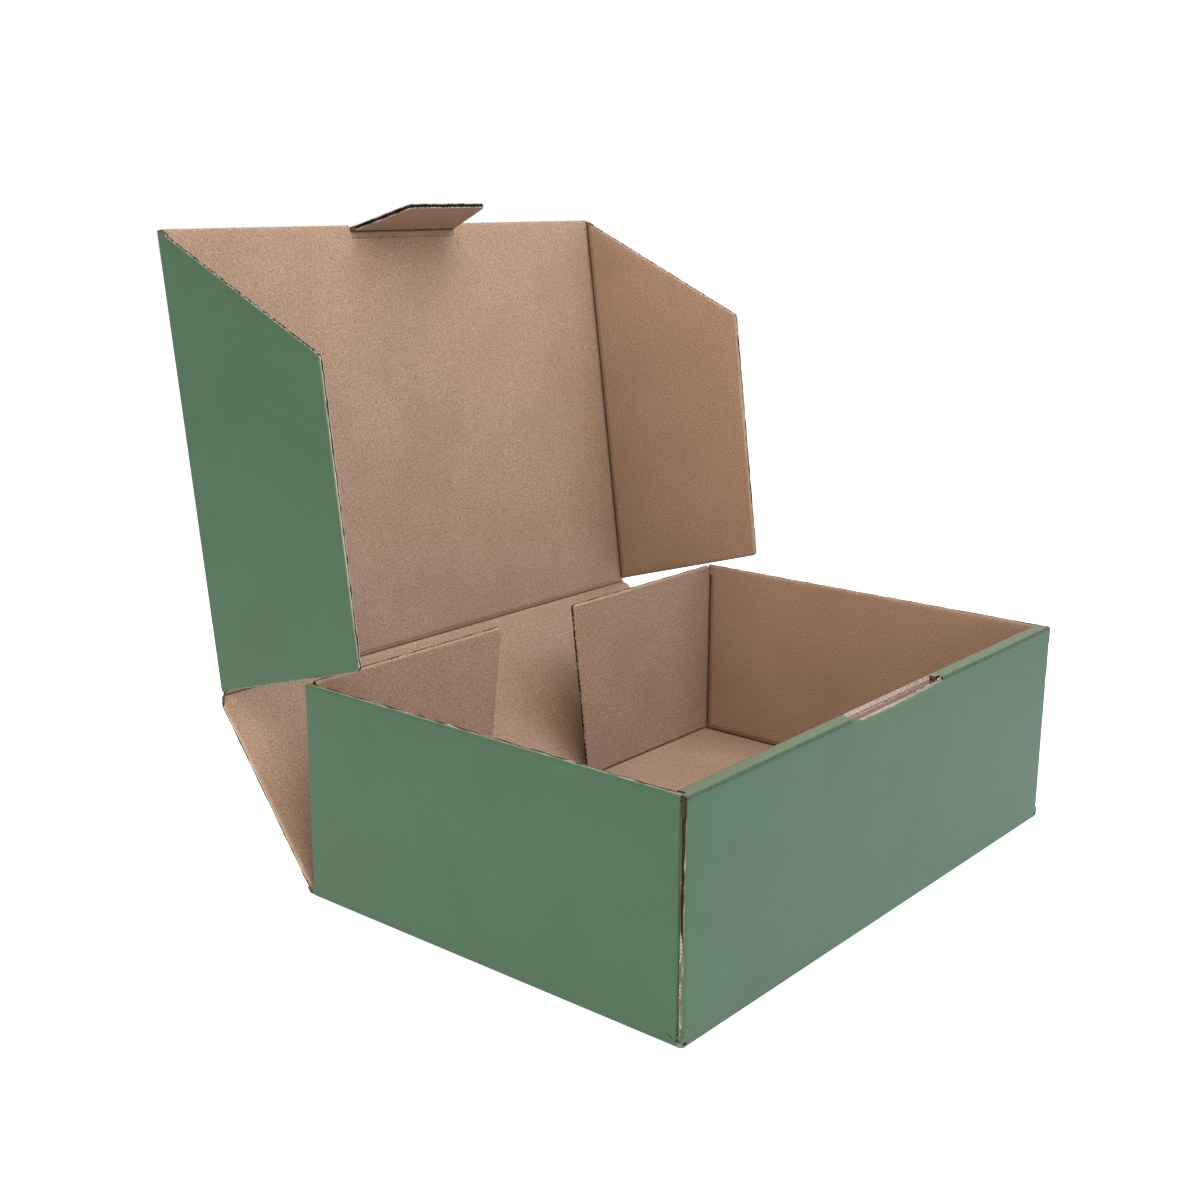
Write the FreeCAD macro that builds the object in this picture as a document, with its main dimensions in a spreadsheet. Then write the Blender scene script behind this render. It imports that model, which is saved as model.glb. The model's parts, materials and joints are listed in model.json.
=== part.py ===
"""Open mailer box: one die-cut sheet of B-flute board, folded up and standing open.

Frame: +Z up, +X to the right along the front wall, +Y towards the rear. The origin is the
centre of the tray's underside. The kraft side of the sheet is the inside of every fold, so
each hinge axis lies on the kraft face, and each swinging panel is drawn in its own frame:
kraft face on local z = 0, board thickness towards local -z, crease through the origin.
"""
import FreeCAD, Part
import math
import os
import Sketcher

DRIVING = [
    ("box_width", 350.0, "outside width of the tray, left to right"),
    ("box_depth", 245.0, "outside depth of the tray, front to rear"),
    ("wall_height", 117.0, "height of the side walls and of the rolled front wall"),
    ("board", 3.0, "thickness of the B-flute board"),
    ("play", 0.3, "air between layers that lie against each other"),
    ("crease_play", 0.15, "how far a panel stops short of its hinge axis"),
    ("fold_radius", 2.5, "outside radius of a folded corner"),
    ("roll_radius", 2.0, "outside radius where the front wall rolls over"),
    ("inner_gap", 1.0, "gap from the inner front panel to each side wall"),
    ("lock_centre", 90.0, "distance of each locking tab from the middle"),
    ("lock_width", 40.0, "width of the floor slots for the locking tabs"),
    ("trap_half", 33.0, "distance of the trapped front flaps from the middle, at the top"),
    ("trap_taper", 12.0, "how much further out the trapped flaps end at the bottom"),
    ("slot_half", 44.5, "half the width of the slot that takes the tuck tab"),
    ("rear_height", 115.5, "rear wall, crease to crease"),
    ("rear_lean", 37.5, "lean of the rear wall from upright, degrees"),
    ("rear_chamfer", 6.0, "height of the taper at the top corners of the rear wall"),
    ("lid_length", 246.5, "lid, rear crease to front edge"),
    ("lid_lean", 7.7, "lean of the lid from upright, degrees"),
    ("lid_inset", 3.3, "how much narrower the closed lid is than the tray, each side"),
    ("flap_depth", 114.5, "depth of the lid flaps"),
    ("flap_start", 2.0, "lid flap: rear end of its crease, from the lid's rear crease"),
    ("flap_rake", 18.0, "lid flap: how far its rear edge runs forward over its depth"),
    ("flap_turn", 174.5, "lid flap: end of its free edge, from the lid's rear crease"),
    ("flap_end", 2.0, "lid flap: front end of its crease, from the lid's front edge"),
    ("tab_inset", 4.0, "crease of the tuck tab, from the lid's front edge"),
    ("tab_base", 41.2, "half the width of the tuck tab at its crease"),
    ("tab_tip", 29.8, "half the width of the tuck tab at its free edge"),
    ("tab_length", 40.5, "tuck tab, crease to free edge"),
    ("tab_fold", 78.0, "how far the tuck tab is folded in from the lid, degrees"),
    ("corner_top", 31.0, "free edge of a rear corner flap from the middle, at the top"),
    ("corner_bottom", 46.5, "free edge of a rear corner flap from the middle, at the floor"),
    ("relief_width", 3.7, "relief beside the crease of a rear corner flap: width"),
    ("relief_height", 6.5, "relief beside the crease of a rear corner flap: height"),
    ("corner_radius", 3.0, "rounding of the free corners of the flaps"),
]

# Places that several pieces share, as expressions on the sheet.
HALF_WIDTH = "dims.box_width / 2"
INNER_X = "(dims.box_width / 2 - dims.board)"
FRONT = "(-dims.box_depth / 2)"
REAR_AXIS_Y = "(dims.box_depth / 2 - dims.board)"
CORNER_AXIS_Y = "(dims.box_depth / 2 - 2 * dims.board - dims.play)"
OUTER_BACK = "(-dims.box_depth / 2 + dims.board)"
TRAP_FRONT = "(-dims.box_depth / 2 + dims.board + dims.play)"
INNER_FRONT = "(-dims.box_depth / 2 + 2 * dims.board + 2 * dims.play)"
ROLL_BACK = "(-dims.box_depth / 2 + 3 * dims.board + 2 * dims.play)"
ABOVE_FLOOR = "(dims.board + dims.play)"
ROLL_UNDER = "(dims.wall_height - dims.board)"
LID_CREASE_X = "(dims.box_width / 2 - dims.lid_inset - dims.board)"
TAB_AXIS = "(dims.lid_length - dims.tab_inset)"

doc = FreeCAD.newDocument("mailer_box")
sheet = doc.addObject("Spreadsheet::Sheet", "dims")


def fill_sheet():
    """Write the driving dimensions as plain numbers, each with its alias and meaning."""
    for row, (alias, number, meaning) in enumerate(DRIVING, start=1):
        sheet.set(f"A{row}", meaning)
        sheet.set(f"B{row}", str(number))
        sheet.setAlias(f"B{row}", alias)
    doc.recompute()


def value(expression):
    """The number that an expression on the sheet stands for."""
    result = sheet.evalExpression(expression)
    return float(getattr(result, "Value", result))


def new_body(label):
    """A PartDesign body whose Label names its file."""
    body = doc.addObject("PartDesign::Body", label)
    body.Label = label
    return body


def origin_plane(body, role):
    """One of the body's own origin planes, found by its role."""
    return next(item for item in body.Origin.OriginFeatures if item.Role == role)


def outline(body, name, role, corners, offset="0"):
    """A closed outline of straight edges, with both places of every corner on the sheet."""
    sketch = body.newObject("Sketcher::SketchObject", name)
    sketch.AttachmentSupport = (origin_plane(body, role), [""])
    sketch.MapMode = "FlatFace"
    sketch.setExpression("AttachmentOffset.Base.z", offset)
    points = [FreeCAD.Vector(value(across), value(along), 0) for across, along in corners]
    for start, end in zip(points, points[1:] + points[:1]):
        sketch.addGeometry(Part.LineSegment(start, end))
    for index, corner in enumerate(corners):
        following = (index + 1) % len(corners)
        sketch.addConstraint(Sketcher.Constraint("Coincident", index, 2, following, 1))
        for kind, text in zip(("DistanceX", "DistanceY"), corner):
            rule = Sketcher.Constraint(kind, -1, 1, index, 1, value(text))
            number = sketch.addConstraint(rule)
            sketch.setExpression(f"Constraints[{number}]", text)
    return sketch


def pad(body, sketch, name, length, backwards=False):
    """Pad an outline; backwards points it against the sketch's own normal."""
    feature = body.newObject("PartDesign::Pad", name)
    feature.Profile = sketch
    feature.Reversed = backwards
    feature.setExpression("Length", length)
    doc.recompute()
    return feature


def pocket(body, sketch, name, length, backwards=False):
    """Cut an outline out of the body, and stop if it took nothing away."""
    before = body.Shape.Volume
    feature = body.newObject("PartDesign::Pocket", name)
    feature.Profile = sketch
    feature.Reversed = backwards
    feature.setExpression("Length", length)
    doc.recompute()
    if body.Shape.Volume > before - 1.0:
        raise RuntimeError(f"{name} cut nothing")
    return feature


def fillet(body, name, radius, chosen):
    """Round the edges of the body's tip whose middle point satisfies chosen."""
    base = body.Tip
    names = []
    for number, edge in enumerate(base.Shape.Edges, start=1):
        middle = edge.valueAt((edge.FirstParameter + edge.LastParameter) / 2)
        if edge.Curve.TypeId == "Part::GeomLine" and chosen(edge, middle):
            names.append(f"Edge{number}")
    if not names:
        raise RuntimeError(f"{name} found no edge")
    feature = body.newObject("PartDesign::Fillet", name)
    feature.Base = (base, names)
    feature.setExpression("Radius", radius)
    doc.recompute()
    return feature


def near(number, expression):
    """Whether a measured number lies at the place that an expression gives."""
    return abs(number - value(expression)) < 0.01


def runs_along(edge, axis):
    """Whether a straight edge is parallel to axis 0, 1 or 2."""
    direction = edge.Curve.Direction
    return abs(abs(direction[axis]) - 1.0) < 1e-6


def mirrored(side, expression):
    """An expression on the right side, or its mirror image on the left."""
    return expression if side > 0 else f"-({expression})"


def tray_channel(tray):
    """Floor and both side walls: one channel from the front corner to the corner creases."""
    corners = [
        (f"-{HALF_WIDTH}", "0"),
        (HALF_WIDTH, "0"),
        (HALF_WIDTH, "dims.wall_height"),
        (INNER_X, "dims.wall_height"),
        (INNER_X, "dims.board"),
        (f"-{INNER_X}", "dims.board"),
        (f"-{INNER_X}", "dims.wall_height"),
        (f"-{HALF_WIDTH}", "dims.wall_height"),
    ]
    sketch = outline(tray, "channel_section", "XZ_Plane", corners, f"-{TRAP_FRONT}")
    length = f"{CORNER_AXIS_Y} - dims.crease_play - {TRAP_FRONT}"
    pad(tray, sketch, "channel", length, backwards=True)


def tray_floor_end(tray):
    """The floor runs on past the side walls to the crease of the rear wall."""
    edge_x = f"({HALF_WIDTH} - dims.board / 2)"
    start = f"({CORNER_AXIS_Y} - 2 * dims.board)"
    end = f"({REAR_AXIS_Y} - dims.crease_play)"
    corners = [
        (f"-{edge_x}", start),
        (edge_x, start),
        (edge_x, end),
        (f"-{edge_x}", end),
    ]
    sketch = outline(tray, "floor_end_outline", "XY_Plane", corners)
    pad(tray, sketch, "floor_end", "dims.board")


def tray_front(tray):
    """The outer panel of the rolled front wall, folded up from the floor."""
    corners = [
        (FRONT, "0"),
        (TRAP_FRONT, "0"),
        (TRAP_FRONT, "dims.board"),
        (OUTER_BACK, "dims.board"),
        (OUTER_BACK, ROLL_UNDER),
        (FRONT, ROLL_UNDER),
    ]
    sketch = outline(tray, "front_section", "YZ_Plane", corners, f"-{HALF_WIDTH}")
    pad(tray, sketch, "front_panel", "dims.box_width")


def tray_roll(tray):
    """The narrow strip along the top of the front wall, its ends clear of the side walls."""
    front_x = f"({HALF_WIDTH} - dims.play)"
    middle_x = f"({INNER_X} - 2 * dims.play)"
    back_x = f"({INNER_X} - 1.5 * dims.inner_gap)"
    corners = [
        (f"-{front_x}", FRONT),
        (front_x, FRONT),
        (middle_x, OUTER_BACK),
        (back_x, ROLL_BACK),
        (f"-{back_x}", ROLL_BACK),
        (f"-{middle_x}", OUTER_BACK),
    ]
    sketch = outline(tray, "roll_outline", "XY_Plane", corners, ROLL_UNDER)
    pad(tray, sketch, "roll", "dims.board")


def tray_inner_front(tray):
    """The inner panel of the front wall, with two tabs that lock into the floor."""
    edge_x = f"({INNER_X} - dims.inner_gap)"
    near_x = "(dims.lock_centre - dims.lock_width / 2 + dims.play)"
    far_x = "(dims.lock_centre + dims.lock_width / 2 - dims.play)"
    right = [
        (near_x, ABOVE_FLOOR),
        (near_x, "dims.play"),
        (far_x, "dims.play"),
        (far_x, ABOVE_FLOOR),
        (edge_x, ABOVE_FLOOR),
        (edge_x, ROLL_UNDER),
    ]
    left = [(f"-{across}", up) for across, up in reversed(right)]
    sketch = outline(tray, "inner_front_outline", "XZ_Plane", left + right, f"-{INNER_FRONT}")
    pad(tray, sketch, "inner_front", "dims.board", backwards=True)


def tray_trapped_flap(tray, side, word):
    """A front corner flap, folded in from a side wall and trapped inside the front wall."""
    top = f"({ROLL_UNDER} - dims.play)"
    corners = [
        (mirrored(side, HALF_WIDTH), ABOVE_FLOOR),
        (mirrored(side, HALF_WIDTH), top),
        (mirrored(side, "dims.trap_half"), top),
        (mirrored(side, "dims.trap_half + dims.trap_taper"), ABOVE_FLOOR),
    ]
    sketch = outline(tray, f"trapped_{word}_outline", "XZ_Plane", corners, f"-{TRAP_FRONT}")
    pad(tray, sketch, f"trapped_{word}", "dims.board", backwards=True)


def tray_lock_slot(tray, side, word):
    """A slot in the floor around one locking tab."""
    near_x = "dims.lock_centre - dims.lock_width / 2"
    far_x = "dims.lock_centre + dims.lock_width / 2"
    corners = [
        (mirrored(side, near_x), f"{INNER_FRONT} - dims.play"),
        (mirrored(side, far_x), f"{INNER_FRONT} - dims.play"),
        (mirrored(side, far_x), f"{ROLL_BACK} + dims.play"),
        (mirrored(side, near_x), f"{ROLL_BACK} + dims.play"),
    ]
    sketch = outline(tray, f"lock_slot_{word}_outline", "XY_Plane", corners)
    return pocket(tray, sketch, f"lock_slot_{word}", "dims.board", backwards=True)


def tray_tuck_slot(tray):
    """The slot across the roll, its raw edges mitred along both creases of the strip."""
    over = "(dims.board + 1)"
    corners = [
        (OUTER_BACK, ROLL_UNDER),
        (f"{OUTER_BACK} - {over}", f"{ROLL_UNDER} + {over}"),
        (f"{INNER_FRONT} + {over}", f"{ROLL_UNDER} + {over}"),
        (INNER_FRONT, ROLL_UNDER),
    ]
    sketch = outline(tray, "tuck_slot_section", "YZ_Plane", corners, "-dims.slot_half")
    pocket(tray, sketch, "tuck_slot", "2 * dims.slot_half", backwards=True)


def round_tray_folds(tray):
    """Round the outside of the folds: side and front bottom, front corners, and the roll."""
    fillet(
        tray,
        "roll_folds",
        "dims.roll_radius",
        lambda edge, at: runs_along(edge, 0) and near(at.z, "dims.wall_height")
        and (near(at.y, FRONT) or near(at.y, ROLL_BACK)),
    )
    fillet(
        tray,
        "bottom_folds",
        "dims.fold_radius",
        lambda edge, at: near(at.z, "0")
        and (runs_along(edge, 1) and near(abs(at.x), HALF_WIDTH)
             or runs_along(edge, 0) and near(at.y, FRONT)),
    )
    fillet(
        tray,
        "corner_folds",
        "dims.fold_radius",
        lambda edge, at: runs_along(edge, 2) and near(abs(at.x), HALF_WIDTH)
        and near(at.y, TRAP_FRONT),
    )


def make_tray():
    """Floor, side walls and rolled front wall: the part of the sheet that holds its shape."""
    tray = new_body("tray")
    tray_channel(tray)
    tray_floor_end(tray)
    tray_front(tray)
    tray_roll(tray)
    tray_inner_front(tray)
    for side, word in ((-1, "left"), (1, "right")):
        tray_trapped_flap(tray, side, word)
        tray_lock_slot(tray, side, word)
    round_tray_folds(tray)
    tray_tuck_slot(tray)
    return tray


def make_rear_wall():
    """The rear wall, hinged on the floor and leaning out, its top corners tapered in."""
    wall = new_body("rear_wall")
    wide = f"({HALF_WIDTH} - dims.play)"
    narrow = f"({HALF_WIDTH} - dims.lid_inset)"
    top = "(dims.rear_height - dims.crease_play)"
    corners = [
        (f"-{wide}", "dims.crease_play"),
        (wide, "dims.crease_play"),
        (wide, f"{top} - dims.rear_chamfer"),
        (narrow, top),
        (f"-{narrow}", top),
        (f"-{wide}", f"{top} - dims.rear_chamfer"),
    ]
    sketch = outline(wall, "rear_wall_outline", "XY_Plane", corners)
    pad(wall, sketch, "rear_wall_board", "dims.board", backwards=True)
    place = (
        f"create(<<placement>>; create(<<vector>>; 0; {REAR_AXIS_Y}; dims.board); "
        "create(<<rotation>>; create(<<vector>>; 1; 0; 0); 90 - dims.rear_lean))"
    )
    wall.setExpression("Placement", place)
    return wall


def make_lid(wall):
    """The lid, hinged on the rear wall's top crease; its front edge is cut for the tab."""
    lid = new_body("lid")
    side_x = f"({LID_CREASE_X} - dims.crease_play)"
    ear_x = f"({LID_CREASE_X} + dims.board / 2)"
    ear_end = "(dims.flap_start - dims.play)"
    tab_end = f"({TAB_AXIS} - dims.crease_play)"
    right = [
        (ear_x, "dims.crease_play"),
        (ear_x, ear_end),
        (side_x, ear_end),
        (side_x, "dims.lid_length"),
        ("dims.tab_base + 4 * dims.play", "dims.lid_length"),
        ("dims.tab_base + 2 * dims.play", tab_end),
    ]
    left = [(f"-({across})", along) for across, along in reversed(right)]
    sketch = outline(lid, "lid_outline", "XY_Plane", right + left)
    pad(lid, sketch, "lid_board", "dims.board", backwards=True)
    fillet(
        lid,
        "lid_corners",
        "dims.corner_radius",
        lambda edge, at: runs_along(edge, 2) and near(at.y, "dims.lid_length")
        and near(abs(at.x), side_x),
    )
    turn = (
        "create(<<placement>>; create(<<vector>>; 0; dims.rear_height; 0); "
        "create(<<rotation>>; create(<<vector>>; 1; 0; 0); dims.rear_lean - dims.lid_lean))"
    )
    lid.setExpression("Placement", f"{wall.Name}.Placement * {turn}")
    return lid


def make_lid_flap(lid, side, word):
    """A side flap of the lid, folded square to it; its front runs back to the free edge."""
    flap = new_body(f"lid_flap_{word}")
    crease = mirrored(side, "dims.crease_play")
    free = mirrored(side, "dims.flap_depth")
    corners = [
        (crease, "dims.flap_start"),
        (free, "dims.flap_start + dims.flap_rake"),
        (free, "dims.flap_turn"),
        (crease, "dims.lid_length - dims.flap_end"),
    ]
    sketch = outline(flap, f"lid_flap_{word}_outline", "XY_Plane", corners)
    pad(flap, sketch, f"lid_flap_{word}_board", "dims.board", backwards=True)
    fillet(
        flap,
        f"lid_flap_{word}_corners",
        "dims.corner_radius",
        lambda edge, at: runs_along(edge, 2) and near(at.x, free),
    )
    turn = (
        f"create(<<placement>>; create(<<vector>>; {mirrored(side, LID_CREASE_X)}; 0; 0); "
        f"create(<<rotation>>; create(<<vector>>; 0; 1; 0); {-90 * side}))"
    )
    flap.setExpression("Placement", f"{lid.Name}.Placement * {turn}")
    return flap


def make_tuck_tab(lid):
    """The tuck tab on the lid's front edge, tapered and partly folded in."""
    tab = new_body("tuck_tab")
    corners = [
        ("-dims.tab_base", "dims.crease_play"),
        ("dims.tab_base", "dims.crease_play"),
        ("dims.tab_tip", "dims.tab_length"),
        ("-dims.tab_tip", "dims.tab_length"),
    ]
    sketch = outline(tab, "tuck_tab_outline", "XY_Plane", corners)
    pad(tab, sketch, "tuck_tab_board", "dims.board", backwards=True)
    fillet(
        tab,
        "tuck_tab_corners",
        "dims.corner_radius",
        lambda edge, at: runs_along(edge, 2) and near(at.y, "dims.tab_length"),
    )
    turn = (
        f"create(<<placement>>; create(<<vector>>; 0; {TAB_AXIS}; 0); "
        "create(<<rotation>>; create(<<vector>>; 1; 0; 0); dims.tab_fold))"
    )
    tab.setExpression("Placement", f"{lid.Name}.Placement * {turn}")
    return tab


def make_corner_flap(side, word):
    """A rear corner flap, folded in from a side wall, with a relief beside its crease."""
    flap = new_body(f"rear_corner_flap_{word}")
    top = "dims.wall_height"
    relief_floor = "dims.wall_height - dims.relief_height"
    corners = [
        (mirrored(-side, "dims.crease_play"), ABOVE_FLOOR),
        (mirrored(-side, "dims.crease_play"), relief_floor),
        (mirrored(-side, "dims.relief_width"), relief_floor),
        (mirrored(-side, "dims.relief_width"), f"{top} - dims.play"),
        (mirrored(-side, f"{INNER_X} - dims.corner_top"), top),
        (mirrored(-side, f"{INNER_X} - dims.corner_bottom"), ABOVE_FLOOR),
    ]
    sketch = outline(flap, f"corner_flap_{word}_outline", "XY_Plane", corners)
    pad(flap, sketch, f"corner_flap_{word}_board", "dims.board", backwards=True)
    fillet(
        flap,
        f"corner_flap_{word}_corner",
        "dims.corner_radius",
        lambda edge, at: runs_along(edge, 2) and near(at.y, top),
    )
    place = (
        f"create(<<placement>>; create(<<vector>>; {mirrored(side, INNER_X)}; "
        f"{CORNER_AXIS_Y}; 0); create(<<rotation>>; create(<<vector>>; 1; 0; 0); 90))"
    )
    flap.setExpression("Placement", place)
    return flap


def check_document(bodies):
    """Stop if any object failed to recompute or a body is not one valid solid."""
    doc.recompute()
    for item in doc.Objects:
        if "Invalid" in item.State or "Error" in item.State:
            raise RuntimeError(f"{item.Name} failed: {item.State}")
    for body in bodies:
        shape = body.Shape
        if shape.isNull() or not shape.isValid() or len(shape.Solids) != 1:
            raise RuntimeError(f"{body.Label} is not one valid solid")


def write_parts(bodies):
    """Write each body to its own file and print where it lies and what it holds."""
    os.makedirs("parts", exist_ok=True)
    for body in bodies:
        body.Shape.exportStep(f"parts/{body.Label}.step")
        box = body.Shape.BoundBox
        print(
            f"{body.Label}: x {box.XMin:.2f}..{box.XMax:.2f} y {box.YMin:.2f}..{box.YMax:.2f} "
            f"z {box.ZMin:.2f}..{box.ZMax:.2f} volume {body.Shape.Volume:.0f}"
        )


def main():
    fill_sheet()
    tray = make_tray()
    wall = make_rear_wall()
    lid = make_lid(wall)
    bodies = [tray, wall, lid]
    for side, word in ((-1, "left"), (1, "right")):
        bodies.append(make_lid_flap(lid, side, word))
    bodies.append(make_tuck_tab(lid))
    for side, word in ((-1, "left"), (1, "right")):
        bodies.append(make_corner_flap(side, word))
    check_document(bodies)
    write_parts(bodies)
    lean = math.radians(value("dims.rear_lean"))
    height = value("dims.rear_height")
    print(
        "lid axis at y %.3f z %.3f" % (
            value(REAR_AXIS_Y) + height * math.sin(lean),
            value("dims.board") + height * math.cos(lean),
        )
    )


main()
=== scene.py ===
"""Open mailer box folded from one sheet of printed B-flute board.

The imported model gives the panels' places and hinges. Each panel is built here as real board: a
printed liner, a fluted medium and a kraft liner, creased at its folds and cut raw at its edges.
Lengths are millimetres until a mesh is made. A panel is drawn flat, with `a` across the flutes,
`b` along them and `n` from the kraft face, at 0, to the printed face.
"""
from __future__ import annotations

import json
import logging
import math
from collections.abc import Sequence
from dataclasses import dataclass, field
from enum import Enum

import bmesh
import bpy
import numpy as np
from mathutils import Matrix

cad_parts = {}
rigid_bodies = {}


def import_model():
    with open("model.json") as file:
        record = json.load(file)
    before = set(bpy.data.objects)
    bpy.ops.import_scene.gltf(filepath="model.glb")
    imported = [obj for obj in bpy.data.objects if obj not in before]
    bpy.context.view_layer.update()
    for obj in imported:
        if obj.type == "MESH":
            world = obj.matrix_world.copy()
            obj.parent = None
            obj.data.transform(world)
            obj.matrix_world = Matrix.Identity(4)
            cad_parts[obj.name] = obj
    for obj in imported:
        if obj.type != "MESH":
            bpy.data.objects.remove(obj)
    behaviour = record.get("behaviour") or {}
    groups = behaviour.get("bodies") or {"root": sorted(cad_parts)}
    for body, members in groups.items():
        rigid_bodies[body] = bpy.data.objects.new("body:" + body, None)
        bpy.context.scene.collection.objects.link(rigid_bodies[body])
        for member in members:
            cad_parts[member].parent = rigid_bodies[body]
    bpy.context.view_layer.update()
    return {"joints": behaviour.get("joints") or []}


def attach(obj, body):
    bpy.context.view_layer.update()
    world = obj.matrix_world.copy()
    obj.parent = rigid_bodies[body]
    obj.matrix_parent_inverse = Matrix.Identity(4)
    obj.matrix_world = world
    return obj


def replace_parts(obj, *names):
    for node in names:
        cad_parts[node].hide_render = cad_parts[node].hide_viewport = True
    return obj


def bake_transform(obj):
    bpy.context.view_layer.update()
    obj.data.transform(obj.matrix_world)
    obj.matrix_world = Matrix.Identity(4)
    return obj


LOG = logging.getLogger("mailer_box")
METRE = 1000.0  # millimetres in a metre
X, Y, Z = np.eye(3)
SIDES = (-1, "left"), (1, "right")
FLUTE_PITCH = 6.2
TOOTHED_CELL = 0.82  # columns this close show the teeth of a cut edge
ARC_POINTS = 7  # on a rounded corner or a quarter turn
NEAR = 1e-6  # two places closer than this are one
SHARP_ANGLE = 38.0  # degrees between two faces that meet in a hard edge
Socket = bpy.types.NodeSocket
MATH = "ShaderNodeMath"
# A Mix node has inputs and results for each kind of value. These are its numbers for colours.
MIX_FACTOR, MIX_UNDER, MIX_OVER, MIX_RESULT = 0, 6, 7, 2


class Stock(Enum):
    """Which paper a face shows, in the order of a piece's material slots."""

    PRINT = 0
    KRAFT = 1
    MEDIUM = 2
    CUT = 3
    TORN = 4


class Edge(Enum):
    """The four sides of a flat panel."""

    LOW = "low b"
    HIGH = "high b"
    FIRST = "first a"
    LAST = "last a"


# ---------------------------------------------------------------- nodes and colours


def linear(hex_colour: str) -> tuple[float, ...]:
    """Turn an sRGB hex colour to the linear values that shaders take.

    Args:
        hex_colour: A colour such as "#AA8866".

    Returns:
        Red, green, blue and a full alpha.
    """
    values = [int(hex_colour[i : i + 2], 16) / 255 for i in (1, 3, 5)]
    return (*(v / 12.92 if v <= 0.04045 else ((v + 0.055) / 1.055) ** 2.4 for v in values), 1.0)


def add(tree: bpy.types.NodeTree, kind: str, links: dict | None = None,
        **settings: object) -> bpy.types.Node:
    """Add a node with its settings, input values and links.

    Args:
        tree: The tree that the node goes in.
        kind: The node's type.
        links: For each input's name or number, a socket to link or a value to set.
        **settings: The node's own properties.

    Returns:
        The node.
    """
    node = tree.nodes.new(kind)
    for key, setting in settings.items():
        setattr(node, key, setting)
    for name, source in (links or {}).items():
        if isinstance(source, Socket):
            tree.links.new(source, node.inputs[name])
        else:
            node.inputs[name].default_value = source
    return node


def new_material(name: str) -> tuple[bpy.types.Material, bpy.types.Node]:
    """Make a node material that holds a Principled shader and its output.

    Args:
        name: The material's name.

    Returns:
        The material and its shader node.
    """
    material = bpy.data.materials.new(name)
    material.use_nodes = True
    tree = material.node_tree
    tree.nodes.clear()
    shader = add(tree, "ShaderNodeBsdfPrincipled")
    add(tree, "ShaderNodeOutputMaterial", {"Surface": shader.outputs["BSDF"]})
    return material, shader


# ---------------------------------------------------------------- finishes


@dataclass(frozen=True)
class Grain:
    """Paper's own pattern, in millimetres: fibre clumps, soft clouds and specks.

    Single fibres are too fine to show, so the finest pattern is as coarse as their clumps. A speck
    lies in the middle of a cell of `speck`, and `speck_share` of the cells have one.
    """

    fibre: float = 0.8
    cloud: float = 45.0
    speck: float = 3.4
    speck_share: float = 0.12

    def clumps(self, tree: bpy.types.NodeTree, size: float) -> Socket:
        """Soft patches of a real size.

        Args:
            tree: The material's tree.
            size: The size of a patch, in millimetres.

        Returns:
            Their strength, about 0.5 on average.
        """
        place = add(tree, "ShaderNodeTexCoord")
        links = {"Vector": place.outputs["Object"], "Scale": METRE / size, "Detail": 2.0}
        return add(tree, "ShaderNodeTexNoise", links).outputs[0]

    def specks(self, tree: bpy.types.NodeTree) -> Socket:
        """Choose a few cells of a pattern and keep a small spot in the middle of each.

        Args:
            tree: The material's tree.

        Returns:
            A mask that is 1 on the specks.
        """
        place = add(tree, "ShaderNodeTexCoord")
        links = {"Vector": place.outputs["Object"], "Scale": METRE / self.speck}
        cells = add(tree, "ShaderNodeTexVoronoi", links)
        chosen = {"Value": cells.outputs["Color"], "From Min": self.speck_share, "From Max": 0.0}
        few = add(tree, "ShaderNodeMapRange", chosen)
        near = {"Value": cells.outputs["Distance"], "From Min": 0.2, "From Max": 0.1}
        small = add(tree, "ShaderNodeMapRange", near)
        both = {0: few.outputs[0], 1: small.outputs[0]}
        return add(tree, MATH, both, operation="MULTIPLY").outputs[0]


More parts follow.
